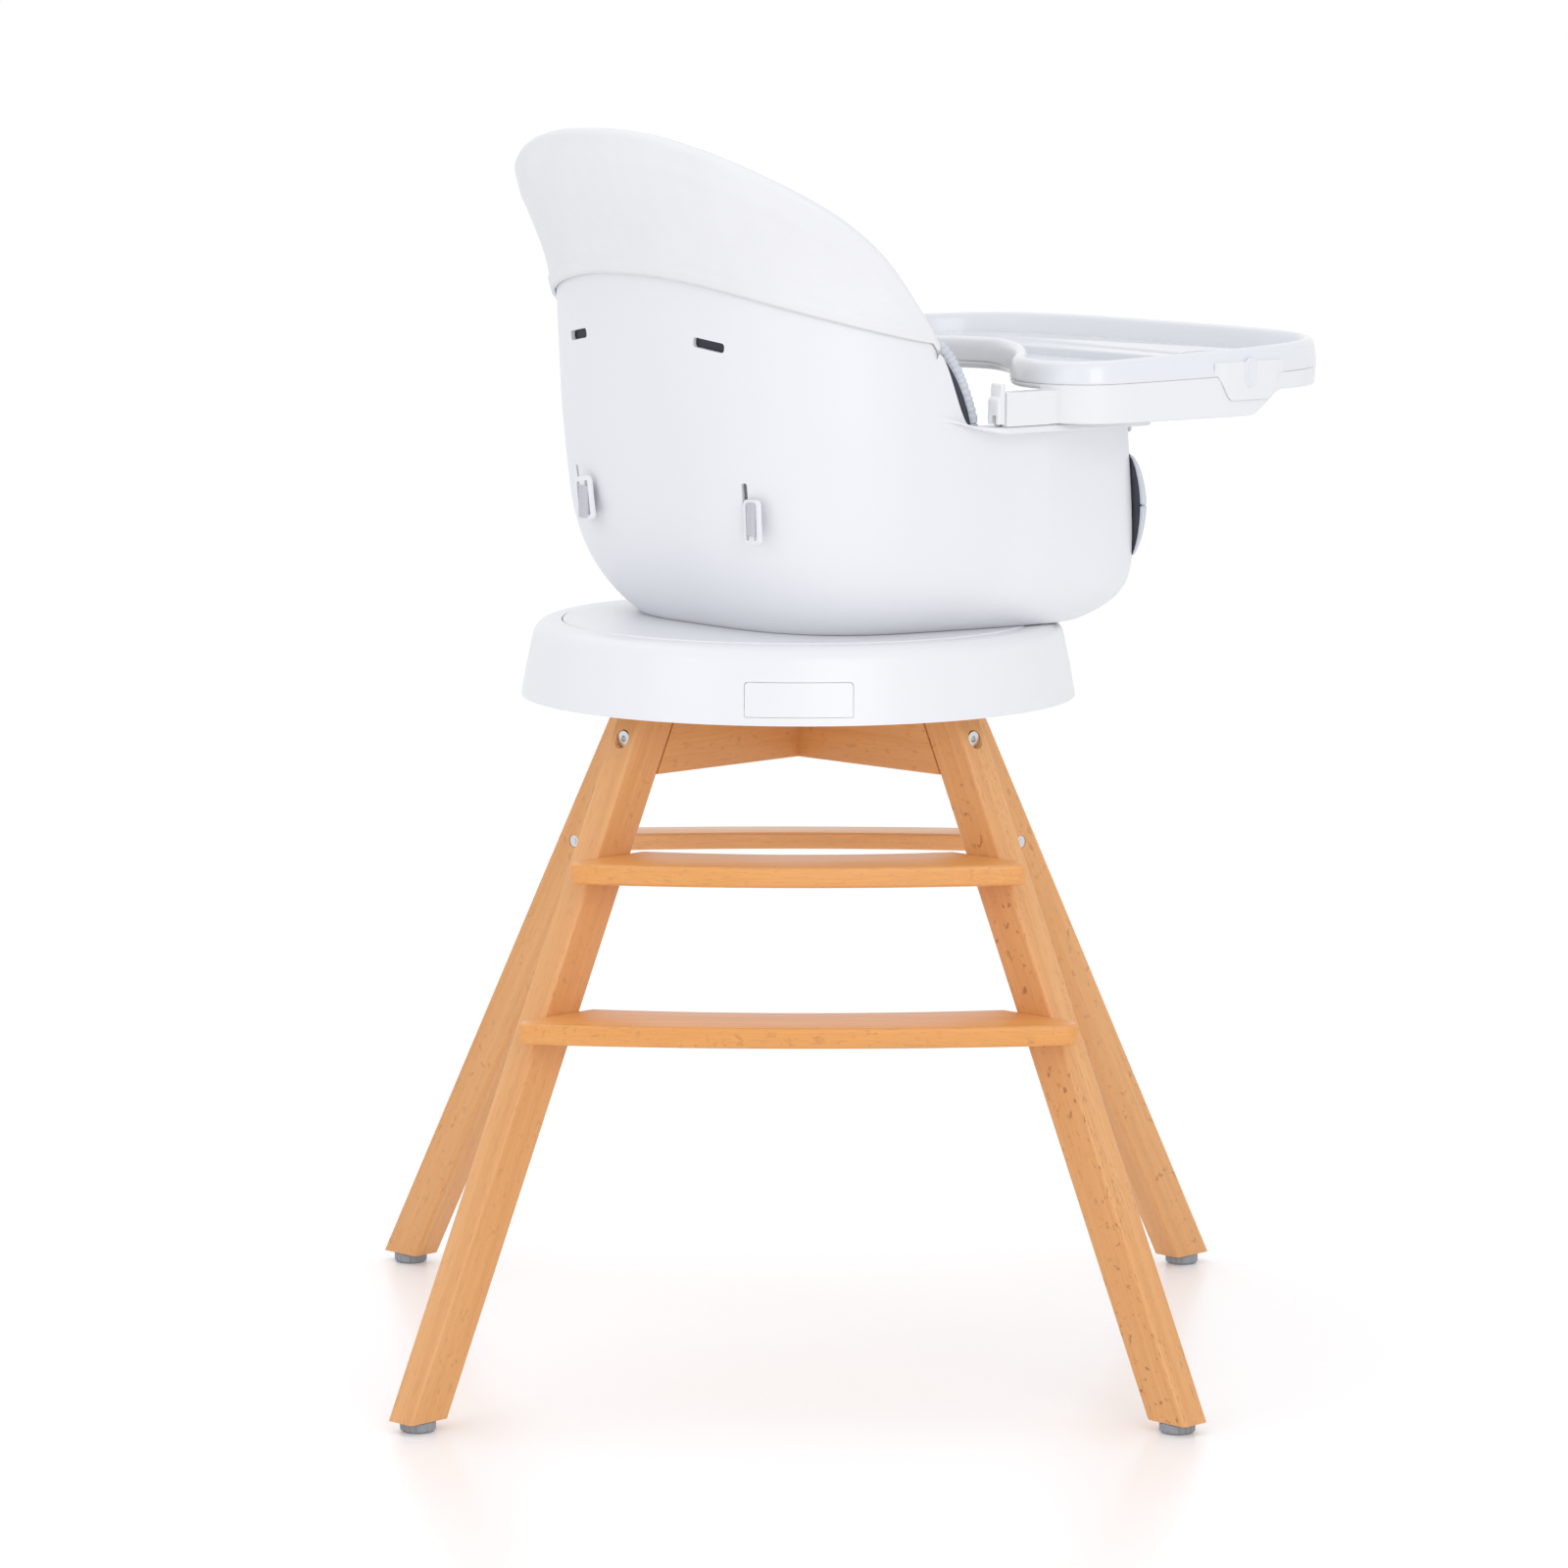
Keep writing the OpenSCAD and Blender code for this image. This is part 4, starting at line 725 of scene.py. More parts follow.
# %% [markdown]
# The hood of the liner is a padded pocket that hangs over the shell's rim. Its section runs from
# the hem outside, over the rim, to its edge inside, and back along the shell. Broad folds cross it,
# the shell's rim shows as a low ridge, and the hem is a soft roll with a sewn line above it.

# %% Hood of the liner
HOOD_GAP, HOOD_IN, HOOD_THICK = 0.9, 62.0, 4.4
hood_turns = np.arange(96, 264.1, 0.75)
hood_rim = rim(hood_turns)
drop = np.maximum(1.5, 105 - 110 * (np.abs(180 - hood_turns) / 84) ** 3.8)
fullness = np.clip(drop / 60, 0, 1)


def folds(a, z, seed):
    """Creases as a sum of sines along and across, between about -1 and 1."""
    return (np.sin(a * 0.31 + 0.021 * z + seed) * 0.35 + np.sin(a * 0.73 - 0.05 * z + 2.1 * seed) * 0.25
            + np.sin(0.09 * z + 0.11 * a + seed) * 0.2 + np.sin(a * 1.9 + 0.07 * z + 3.7 * seed) * 0.2)


def slow_folds(z):
    """The hood's own creases, broader than the pad's."""
    return folds(hood_turns * 0.45, z * 0.6, 0.7)


def over_rim(thick, step):
    """Rows of a section round the rim: half a circle that clears the wall by the pocket's thickness."""
    r = WALL / 2 + HOOD_GAP + thick
    return [(-WALL / 2 + r * math.cos(turn), HOOD_GAP + r * math.sin(turn))
            for turn in np.radians(np.arange(step, 180, step))]


def pocket(name, node, turns, section):
    """A padded pocket over the rim. Each row of its section is an offset outward and a height."""
    offset, height = [np.stack([np.broadcast_to(row[k], len(turns)) for row in section], 1) for k in (0, 1)]
    piece = loft(name, shell_at(turns[:, None], rim(turns)[:, None] + height, -offset), "seat", [node],
                 [liner_white])
    return piece


section = []
for v in np.linspace(0, 1, 34):
    above_hem, below = drop * v, drop * (1 - v)
    crease = slow_folds(hood_rim - below) * 0.7 * np.maximum(fullness, 0.1)
    seam = bell(above_hem - 12, 1.6) * np.clip((drop - 20) / 30, 0, 1)
    roll = bell(above_hem - 7, 6.0) * np.clip(drop / 40, 0, 1) * (0.9 + 3.2 * bell(hood_turns - 143, 9.0))
    ridge = bell(below - 15, 5.0) * fullness
    thick = 4.2 + crease - 0.9 * seam - 1.4 * bell(above_hem, 7.0) + 0.7 * ridge + roll
    section.append((HOOD_GAP + np.clip(thick, 1.5, 8.5), -below))
section += over_rim(HOOD_THICK + slow_folds(hood_rim) * 0.4, 12)
for v in np.linspace(0, 1, 20):
    thick = 4.8 + 3.0 * math.sin(math.pi * v) + folds(hood_turns, hood_rim - 60 * v, 2.2) * 0.6
    section.append((-WALL - HOOD_GAP - thick, -HOOD_IN * v))
section += [(-WALL - HOOD_GAP, HOOD_GAP + (1 - HOOD_IN - HOOD_GAP) * v) for v in np.linspace(1, 0, 14)]
section += [(HOOD_GAP, HOOD_GAP - (drop + HOOD_GAP) * v) for v in np.linspace(0, 1, 24)]
hood = pocket("liner_hood_cover", "liner_hood", hood_turns, section)
print("hood:", len(hood.data.polygons), "faces, hem drop", round(float(drop.max()), 1), "mm at most")

# %% [markdown]
# The apron covers the front lip of the shell, where the legs rest. It could be cut from the hood's
# mesh, but a short section of its own keeps its drop and its thickness free. So it is the same
# pocket, made for other turns of the rim.

# %% Apron of the liner
APRON_DROP = 16
apron_turns = np.arange(-36, 36.1, 0.5)
section = []
for v in np.linspace(0, 1, 10):
    below = APRON_DROP * (1 - v)
    thick = 4.6 + folds(apron_turns * 2.3, rim(apron_turns) - below, 1.3) * 0.8 - 1.5 * (v < 0.1)
    section.append((HOOD_GAP + np.clip(thick, 1.5, 5.8), -below))
section += over_rim(4.6, 15)
section += [(-WALL - HOOD_GAP - 5.6, -1), (-WALL - HOOD_GAP - 4, -2), (-WALL - HOOD_GAP, -1),
            (-WALL - HOOD_GAP, 0.9), (HOOD_GAP, 0.9), (HOOD_GAP, -8)]
apron = pocket("liner_apron_cover", "liner_apron", apron_turns, section)
print("apron:", len(apron.data.polygons), "faces")

# %% [markdown]
# At each front corner the apron ends in a wing that stands off the shell. Its side is painted almost
# black as shade, and a pale roll binds its edge. Seen from the side it is a crescent, so its
# thickness is a sine of its height, and both tips close by themselves.

# %% Apron wings
WING_LOW, WING_TALL, WING_OUT = 643, 79, 8.5
wing_z = np.linspace(WING_LOW, WING_LOW + WING_TALL, 40)
bulge = np.sin(np.pi * ((wing_z - WING_LOW) / WING_TALL) ** 1.15) ** 0.6
wing_turns = np.linspace(-40.5, -24, 24)
share = (wing_turns + 40.5) / 16.5
for side, label in SIDES:
    out = HOOD_GAP + WING_OUT * bulge[:, None] * (1 - share) ** 0.6
    face, back = [shell_at(wing_turns, wing_z[:, None], -offset) for offset in (out, HOOD_GAP)]
    rings = np.concatenate([face, back[:, ::-1]], 1) * [1, -side, 1]
    wing = loft("apron_wing_" + label, rings, "seat", ["liner_apron"],
                [liner_white, painted_shade_dark])
    rows, around = rings.shape[:2]
    # The faces of the wing's side get the almost black painted shade.
    quad = np.arange(len(wing.data.polygons))
    gusset = (quad < (rows - 1) * around) & (quad % around == around - 1)
    wing.data.polygons.foreach_set("material_index", gusset.astype(np.int32))
    tube("apron_binding_" + label, face[:, 0] * [1, -side, 1], 0.6 + 2.0 * bulge, ["liner_apron"])
print("wings made")

# %% [markdown]
# The pad lines the shell's inside. Its back face is painted almost black as shade, and shows as a
# thin dark strip above the rim beside the tray. Sewn channels cross the seat. It lies against a rigid
# wall. A cloth simulation could drape it there, but rings set off from the shell's own formula keep
# its distance from the wall exactly.

# %% Pad of the liner
PAD_CLEAR, PAD_WALL, PAD_SEAT, PAD_CROWN, PAD_ROUND = 0.9, 11.0, 20.0, 6.0, 9
PAD_OUT, PAD_IN = WALL + PAD_CLEAR, WALL + PAD_CLEAR + PAD_WALL
pad_turns = np.arange(0, 360, 1.5)


def beside_edge(x):
    """The pad's edge beside the tray: a fall of 58 mm over 37 mm, half of it straight, half cubic."""
    u = np.clip((x - FALL_X) / 37, 0, 1)
    return 817.5 - 58 * (0.5 * u + 0.5 * u ** 3)


def pad_top(a):
    """Top edge of the pad: inside the hood behind, above the rim beside the tray, below it in front."""
    x = plan_at(a)[..., 0]
    beside = beside_edge(x) - 9 * smooth((x - 16) / 4)
    front = np.min([rim(a + step) for step in (-6, -3, 0, 3, 6)], axis=0) - 8
    return np.where(x < FALL_X, rim(a) - 68, np.where(x < 150, beside, np.minimum(front, 750.5)))


low, top = floor_at(pad_turns, WALL, 0)[:, 2], pad_top(pad_turns)
base = low + (rim(pad_turns) - low) * 0.3
rings = [floor_at(pad_turns, PAD_OUT + PAD_ROUND, PAD_CLEAR)]
for v in np.linspace(0.05, 0.3, 8):
    rings.append(shell_at(pad_turns, low + (rim(pad_turns) - low) * v, PAD_OUT))
for v in np.linspace(0.06, 0.97, 24):
    rings.append(shell_at(pad_turns, base + (top - base) * v, PAD_OUT))
# The rings so far make the pad's back, which is painted almost black as shade.
painted_shade_rings = len(rings)
for turn in np.radians(np.arange(0, 181, 20)):
    rings.append(shell_at(pad_turns, top - 3 + 3.1 * math.sin(turn),
                          PAD_OUT + PAD_WALL / 2 * (1 - math.cos(turn))))
seat_low = floor_z(shell_at(pad_turns, SHELL_Z + 44, PAD_IN)[:, 0]) + PAD_CLEAR + PAD_SEAT
for v in np.linspace(0.97, 0, 30):
    z = seat_low + (top - seat_low) * v
    quilt = 1.1 * folds(pad_turns, z, 1.9) * math.sin(math.pi * min(1, v + 0.02))
    rings.append(shell_at(pad_turns, z, PAD_IN + quilt))
seat_edge = shell_at(pad_turns, seat_low, PAD_IN + 4)[:, :2]
for share in np.concatenate([np.linspace(1, 0.1, 22), [0.04]]):
    spot = seat_edge * share
    cushion = floor_z(spot[:, 0]) + PAD_CLEAR + PAD_SEAT + PAD_CROWN * (1 - share ** 3)
    channel = sum(bell(spot[:, 0] - line, 3.0) for line in (-60.0, 0.0, 60.0, 120.0))
    rings.append(at_height(spot, cushion - 2.2 * channel * (share < 0.97)))
ring_material = np.where(np.arange(len(rings) - 1) < painted_shade_rings, 1, 0)
# The pad's inside gets the liner's white darkened as painted shade.
pad = loft("liner_seat_pad", np.stack(rings), "seat", ["liner_pad"],
           [liner_painted_shade, painted_shade_dark], material_of_ring=ring_material)
cut_slots(pad, shoulders=False)
print("pad:", len(pad.data.polygons), "faces,", painted_shade_rings, "dark rings")

# %% [markdown]
# A gathered roll edges the pad beside the tray. It is a tube beside the pad's top edge, and slanting
# waves of its radius draw the gathers that elastic makes. A curve object could carry the tube too,
# but a path of points lets each wave follow the length.

# %% Piping
fall_x = np.linspace(-17.5, 19, 110)
edge = np.concatenate([np.stack([fall_x, beside_edge(fall_x)], -1),
                       np.stack([np.full(14, 19.4), np.linspace(758, 744, 14)], -1)])
ahead = unit(np.gradient(edge, axis=0))
edge = edge + np.stack([-ahead[:, 1], ahead[:, 0]], -1) * 5.0
side_turns = np.arange(110, 60, -0.2)
path = shell_at(np.interp(edge[:, 0], plan_at(side_turns)[:, 0], side_turns), edge[:, 1], PAD_OUT + 5.5)
roll_radius = 4.6 * smooth((run_length(path) + 3) / 12)
for side, label in SIDES:
    tube("liner_piping_" + label, path * [1, side, 1], roll_radius, ["liner_pad"], gather=0.10 * side)
print("piping made,", round(float(run_length(path)[-1])), "mm long")

# %% [markdown]
# Each waist strap wraps the middle bar of its slide buckle, passes through the shell's slot, and runs
# forward to the harness buckle. Its path is drawn from above and rounded by cutting corners, then
# widened upwards. The slide buckles hang a little askew, as loose ones do.

# %% Straps and slide buckles
LOCK_X, LOCK_Z, WEB_W, WEB_T = 78.0, 686.5, 25.0, 1.3
BUCKLE_W, BUCKLE_H, BUCKLE_R, BUCKLE_OFF = 20.0, 35.0, 4.5, 9
WINDOW_W, WINDOW_H, WINDOW_MID = 3.6, 27.6, 4.7


def cut_corners(path, times):
    """Chaikin corner cutting: each segment gives points at 1/4 and 3/4; the ends stay."""
    for _ in range(times):
        middle = np.stack([path[:-1] * 0.75 + path[1:] * 0.25, path[:-1] * 0.25 + path[1:] * 0.75], 1)
        path = np.concatenate([path[:1], middle.reshape((-1,) + path.shape[1:]), path[-1:]])
    return path


def web_strip(name, path, across, normal, replaced):
    """Flat webbing along a path: width along `across`, thickness along `normal`, UV in metres."""
    w, t = across * WEB_W / 2, normal * WEB_T / 2
    rings = np.stack([path - w - t, path + w - t, path + w + t, path - w + t], 1)
    piece = loft(name, rings, "seat", replaced, [web])
    length = run_length(path) * 0.001
    mesh = piece.data
    vertex = np.empty(len(mesh.loops), np.int32)
    mesh.loops.foreach_get("vertex_index", vertex)
    u = np.append(np.repeat(length, 4), [0, length[-1]])
    v = np.append(np.tile([0, WEB_W, WEB_W, 0], len(path)), [0, 0]) * 0.001
    mesh.uv_layers.new(name="UVMap").data.foreach_set("uv", np.stack([u[vertex], v[vertex]], -1).ravel())
    return sharpen(piece)


foot = shell_at(WAIST_TURN, LOCK_Z, 0.0)[:2]
out = plan_normal(np.array(WAIST_TURN))
round_bar = np.array([[5, -3.4], [5, 1.2], [3.6, 2.9], [-3.6, 2.9], [-5, 1.2], [-5, -3.4]])
frame_edge = [(0.9, -1.6), (0.25, -1.35), (0, -0.7), (0, 0.7), (0.25, 1.35), (0.9, 1.6)]
# How each slide buckle hangs: its lean, the heading it faces, and its turn and height on the wall.
HANGING = {"left": (-9, 184, 150.2, 689), "right": (-3, 180, 137.2, 684)}
for side, label in SIDES:
    lean, face_turn, hang_turn, hang_z = HANGING[label]
    slot_out, slot = out * [1, side], foot * [1, side]
    n = np.array([math.cos(math.radians(face_turn)), math.sin(math.radians(face_turn))])
    u = np.array([n[1], -n[0]])
    centre = shell_at(hang_turn, hang_z, 0.0)[:2] * [1, side] + n * BUCKLE_OFF
    path = np.concatenate([centre + (round_bar * [-side, 1]) @ np.stack([u, n]),
                           [slot + slot_out * 1.6, slot - slot_out * (PAD_IN + 4),
                            [20, 96 * side], [LOCK_X, 48 * side], [LOCK_X, 22 * side]]])
    path = cut_corners(path, 2)
    along = unit(np.gradient(path, axis=0))
    normal = at_height(np.stack([-along[:, 1], along[:, 0]], -1), 0.0)
    web_strip("waist_strap_" + label, at_height(path, LOCK_Z), np.array([[0, 0, 1.0]]), normal,
              ["waist_straps"])

    def upright(ring, depth):
        """Puts a ring of (across, up) points on the buckle's plane, leaned about its middle."""
        across, up = leaned(ring, -lean).T
        return at_height(centre - across[:, None] * u + n * depth, hang_z + up)

    rings = np.stack([upright(rounded_outline(BUCKLE_W - 2 * inset, BUCKLE_H - 2 * inset,
                                              BUCKLE_R - inset), depth) for inset, depth in frame_edge])
    buckle = loft("slide_buckle_" + label, rings, "seat", ["slide_buckles"], [housing_white],
                  capped="flat")
    for middle in (-WINDOW_MID, WINDOW_MID):
        window = rounded_outline(WINDOW_W, WINDOW_H, 1.0) + [middle, 0]
        boolean(buckle, "DIFFERENCE", np.stack([upright(window, depth) for depth in (-4, 4)]))
    sharpen(buckle)
rise = np.linspace(floor_z(LOCK_X) + 27, LOCK_Z - 19, 16)
line = np.stack([np.full(16, LOCK_X), np.zeros(16), rise], -1)
web_strip("crotch_strap_web", line, np.array([[0, 1.0, 0]]), np.array([[-1.0, 0, 0]]), ["crotch_strap"])
print("straps made")

# %% [markdown]
# The step boards and the rear rail are bowed planks. Their ends are cut at 45 degrees against the
# legs' side faces, and reach past them in rounded tips. Every edge has a 3 mm round. The outline
# is drawn once for one half and mirrored, then repeated with an inset for each ring of the round,
# which keeps the round even where a bevel would pinch it at the tips.

# %% Step boards and rear rail
LEG_W, LEG_T, STEP_BACK, STEP_TIP, TIP_ROUND, BOARD_ROUND = 27.0, 35.0, 8.0, 20.0, 13.0, 3.0
END_SOFT = 7.0


def board_half(reach, z, depth, bow, inset):
    """Right half of a board's outline: X against distance from the axis, drawn in by the inset.
    A board too narrow for a tip past the leg ends in a softened point on the leg's side."""
    outer = reach - splay(reach) * z
    inner = outer - LEG_T * math.sqrt(1 + splay(reach) ** 2)
    back = (inner + LEG_W / 2) / math.sqrt(2) - STEP_BACK + inset
    front = back + depth - 2 * inset
    tip = (outer - LEG_W / 2) / math.sqrt(2) + STEP_TIP - inset
    cut = (LEG_W / 2 + inset) * math.sqrt(2)
    r = TIP_ROUND - inset
    half, corner = back - cut, tip - r
    x = np.linspace(0, 1, 25) * half
    rear = np.stack([x, back + bow * (1 - (x / half) ** 2)], 1)
    end = [tip - r * 0.3, tip + cut - r * 0.3]
    if end[1] > front:
        point, soft = np.array([front - cut, front]), END_SOFT - inset
        end, corner = point - soft / math.sqrt(2), point[0] - soft
        t = np.linspace(0, 1, 8)[1:, None]
        tip_arc = (1 - t) ** 2 * end + 2 * t * (1 - t) * point + t ** 2 * (point - [soft, 0])
    else:
        turn = np.radians(np.linspace(30, 88, 13))
        tip_arc = np.stack([corner + r * np.cos(turn), front - r + r * np.sin(turn)], 1)
    x = np.linspace(1, 0, 33)[1:] * corner
    nose = np.stack([x, front + bow * (1 - (x / corner) ** 2)], 1)
    return np.concatenate([rear, np.linspace([half, back], end, 9)[1:], tip_arc, nose])


def board(node, reach, side, top, thickness, depth, bow, material):
    """Rings of the outline from the lower edge's round to the upper one, with flat faces between."""
    profile = [(BOARD_ROUND * (1 - math.cos(turn)), BOARD_ROUND * (1 - math.sin(turn)))
               for turn in np.radians(np.linspace(90, 0, 7))]
    profile += [(0.0, thickness / 2)] + [(inset, thickness - height) for inset, height in profile[::-1]]
    rings = []
    for inset, height in profile:
        half = board_half(reach, top, depth, bow, inset)
        whole = np.concatenate([half, (half * [-1, 1])[1:-1][::-1]])
        rings.append(at_height(whole * [1, side], top - thickness + height))
    rings = turned(np.stack(rings)[:, ::side], -SEAT_TURN)
    return loft(node + "_board", rings, "stand", [node], [material], capped="flat")


# A row gives the rays and warmth of the wood, then the reach, side, top, thickness, depth and bow.
for index, (node, ray_share, warmth, *shape) in enumerate((
        ("upper_step", 0.25, 0.75, FRONT_REACH, -1, 424.5, 16, 73, 16),
        ("lower_step", 0.35, 0.75, FRONT_REACH, -1, 307, 16, 73, 16),
        ("rear_rail", 0.1, 0.1, REAR_REACH, 1, 395, 14, 38, 9.6))):
    wood = beech(node, (0, math.pi / 2, 0), ray_share, (0.4 * index, 0.9, 0.35), warmth)
    sharpen(board(node, *shape, wood))
print("boards made")

# %% [markdown]
# The tray's outline is bowed in front and at the sides, with two ears beside the child and a curved
# belly edge. It is sampled every 3 mm, and each ring of the tray lies a stated inset inside it. A
# short list of insets and heights gives the section. Corner cutting then rounds it.

# %% Tray outline
TRAY_Z, TRAY_TOP, TRAY_MID, TRAY_FRONT, TRAY_EARS, TRAY_HALF = 755.3, 805.8, 160.0, 238.0, 90.0, 250.0
EAR_HALF, EAR_INNER, EAR_TURN, BELLY_X, SEAM_DROP = 168.0, 138.0, 111.0, 190.0, 19.5


def side_curve(a):
    """Superellipse about the tray's widest line, longer in front than at the ears."""
    return superellipse(a, TRAY_FRONT, TRAY_EARS, TRAY_HALF, 4.0, 5.0) + [TRAY_MID, 0]


def belly_curve(y):
    """The belly edge: its distance falls with the 1.54th power of the offset from the middle."""
    return np.stack([BELLY_X - (BELLY_X - TRAY_MID + TRAY_EARS) * (y / EAR_HALF) ** 1.54, y], -1)


v = np.linspace(0.03, 0.97, 24)[:, None]
start, end = side_curve(np.array(EAR_TURN)), belly_curve(np.array(EAR_INNER))
ear_corner = np.array([TRAY_MID - TRAY_EARS + 1, EAR_HALF + 6])
bend = start * (1 - v) ** 2 + ear_corner * 2 * v * (1 - v) + end * v * v
half = np.concatenate([side_curve(np.arange(0, EAR_TURN + 0.1, 0.5)), bend,
                       belly_curve(np.arange(EAR_INNER, -0.1, -3.0))])
outline = np.concatenate([half, (half * [1, -1])[1:-1][::-1]])
closed = np.concatenate([outline, outline[:1]])
length = run_length(closed)
samples = np.linspace(0, length[-1], int(length[-1] / 3) + 1)[:-1]
outline = np.stack([np.interp(samples, length, closed[:, k]) for k in (0, 1)], 1)
chord = np.roll(outline, -2, axis=0) - np.roll(outline, 2, axis=0)
outline_normal = unit(np.stack([chord[:, 1], -chord[:, 0]], 1))
lift = 0.03 * (outline[:, 0] - TRAY_MID)
top, seam = TRAY_TOP + lift, TRAY_TOP - SEAM_DROP + 0.4 * lift
rise_ahead = 19 * smooth((outline[:, 0] - 256) / 40)
rise_between = 26 * smooth((203 - np.abs(outline[:, 1])) / 1.2)
skirt = TRAY_Z + np.maximum(rise_ahead, rise_between)


def tray_rings(section):
    """The outline drawn in by each inset, at each height."""
    return np.stack([at_height(outline - outline_normal * inset, height) for inset, height in section])


print("tray outline:", len(outline), "points")

# %% [markdown]
# The base is a channel: its skirt is deep beside the armrests and shallow elsewhere, and its inner
# wall carries the insert. One closed section, carried round the outline, makes the hollow rim at
# once, without a boolean.

# %% Tray base
SKIRT_TOP = TRAY_Z + 26
rings = cut_corners(tray_rings((
    (14, SKIRT_TOP), (5.2, SKIRT_TOP), (4.8, np.minimum(skirt + 3, SKIRT_TOP)), (4.6, skirt), (3.4, skirt),
    (2.4, skirt), (1.2, skirt + 1.0), (1.0, skirt + 3.5), (0.5, seam - 2.5), (0.4, seam - 0.6), (0.6, seam),
    (1.4, seam + 0.3), (3.3, seam + 0.4), (3.6, seam + 2), (4.2, top - 6), (5.5, top - 4), (7, top - 4),
    (8.4, top - 7), (11, TRAY_TOP - 20.4), (14, TRAY_TOP - 21))), 2)
sharpen(loft("tray_base_shell", np.concatenate([rings, rings[:1]]), "tray", ["tray_base"],
             [tray_white], capped=False))
print("base:", rings.shape)

# %% [markdown]
# The insert lifts off for washing and has the same outline. Its rim is a rounded roll, and its
# floor is one flat face. Two shapes cross that floor, so booleans make them: one joins the raised
# plate in front, and one sinks the stepped cup recess.

# %% Tray insert
rings = cut_corners(tray_rings((
    (14.5, TRAY_TOP - 20), (12.6, TRAY_TOP - 19.4), (9.6, top - 6.5), (7.6, top - 3.2), (5.2, top - 3.2),
    (3.5, top - 5.7), (2.8, seam + 0.8), (1.4, seam + 0.5), (0.2, seam + 0.3), (0, seam + 1.2),
    (0, seam + 2.5), (1, top - 8), (2.6, top - 2.8), (5, top - 0.6), (7.5, top), (10, top - 1), (12, top - 5),
    (14.4, TRAY_TOP - 15.5), (16, TRAY_TOP - 17.2), (18, TRAY_TOP - 17.4))), 2)
under, floor_ring = tray_rings(((17, TRAY_TOP - 20), (19.5, TRAY_TOP - 17.4)))
insert = loft("tray_insert_shell", np.concatenate([[under], rings, [floor_ring]]), "insert", ["tray_insert"],
              [insert_gloss], capped="flat")
PLATE_X, PLATE_INSET, CUP_PLACE = 268.0, 12.8, (334.0, -140.0)


def plate_ring(inset, height):
    """The front part of the outline, cut off by a straight line on the child's side."""
    p = (outline - outline_normal * (PLATE_INSET + inset))[::-1]
    p = np.roll(p, len(p) // 2, axis=0)
    inside = p[p[:, 0] > PLATE_X + 3]
    ends = []
    for part in (p[p[:, 1] > 200], p[p[:, 1] < -200]):
        order = np.argsort(part[:, 0])
        ends.append([PLATE_X + inset, np.interp(PLATE_X + inset, part[order, 0], part[order, 1])])
    first, last = ends if inside[0, 1] > 0 else ends[::-1]
    return at_height(np.concatenate([[first], inside, [last]]), height)[::-1]


plate_low, plate_top = TRAY_TOP - 18.5, TRAY_TOP - 10
plate_profile = [(0, plate_low), (0, plate_top - 2)] + [
    (2 * (1 - math.cos(t)), plate_top - 2 + 2 * math.sin(t)) for t in np.radians((22, 45, 67, 90))]
boolean(insert, "UNION", np.stack([plate_ring(*row) for row in plate_profile]))
cup_profile = [(33, -16.5), (34.5, -16.2), (35.6, -15.2), (36, -14), (36, -12.6), (36.6, -12.1), (38.5, -12),
               (40.2, -11.8), (40.9, -11.2), (41.2, -10.4), (42.2, -9.9), (44, -9.7), (44, 8)]
cup = np.stack([at_height(circle(4) * r + CUP_PLACE, TRAY_TOP + z) for r, z in cup_profile])
boolean(insert, "DIFFERENCE", cup)
sharpen(insert)
print("insert:", len(insert.data.polygons), "faces")

# %% [markdown]
# A clip on each side of the insert hangs over the base. It is a flap that follows the outline, with
# a soft curve at each end, and it carries a raised oval button. Its rings stand across the
# outline, so that the flap bends with the tray's side.

# %% Clips and buttons
CLIP_X, CLIP_HANG, SEAM_Z = 253.5, 19.6, TRAY_TOP - SEAM_DROP
flap_x = np.arange(216, 294, 0.75)
hang = smooth((flap_x - 218) / 17) * smooth((291 - flap_x) / 14)
flap_foot = SEAM_Z + 1.6 - CLIP_HANG * hang
thinning = 0.25 + 0.75 * smooth(hang * 1.6)
flap_section = [(0.1, 0.0), (-1.1, 0.0), (-1.6, 0.03), (-1.75, 0.08), (-1.8, 0.2), (-1.8, 0.9), (-1.5, 0.97),
                (-0.6, 1.0), (2.5, 1.0), (2.5, 0.86), (0.1, 0.84)]
button_profile = [(6.5, 0.5), (6.5, 2.0), (6.3, 2.45), (5.9, 2.75), (5.2, 2.8), (4.2, 2.7), (3.4, 2.5),
                  (1.0, 2.4)]
oval = circle(7.5)
for side, label in SIDES:
    near = (outline[:, 0] > 214) & (outline[:, 0] < 296) & (outline[:, 1] * side > 150)
    order = np.argsort(outline[near, 0])
    x = outline[near][order, 0]
    p, n = [np.stack([np.interp(flap_x, x, v[near][order, k]) for k in (0, 1)], 1)
            for v in (outline, outline_normal)]
    rings = np.stack([at_height(p - n * np.maximum(inset, inset * thinning)[:, None],
                                flap_foot + (SEAM_Z + 12 - flap_foot) * v) for inset, v in flap_section], 1)
    sharpen(loft("clip_" + label, rings, "insert", ["tray_insert"], [tray_white],
                 capped="flat"))
    at = np.argmin(np.abs(flap_x - CLIP_X))
    centre, out = p[at], n[at]
    along = np.array([-out[1], out[0]])
    rings = np.stack([at_height(centre + out * proud + along * oval[:, :1] * r,
                                SEAM_Z + 3 + oval[:, 1] * r + np.sign(oval[:, 1]) * 5)
                      for r, proud in button_profile])
    loft("clip_button_" + label, rings, "insert", ["tray_insert"], [insert_gloss],
         capped="flat")
print("clips made")

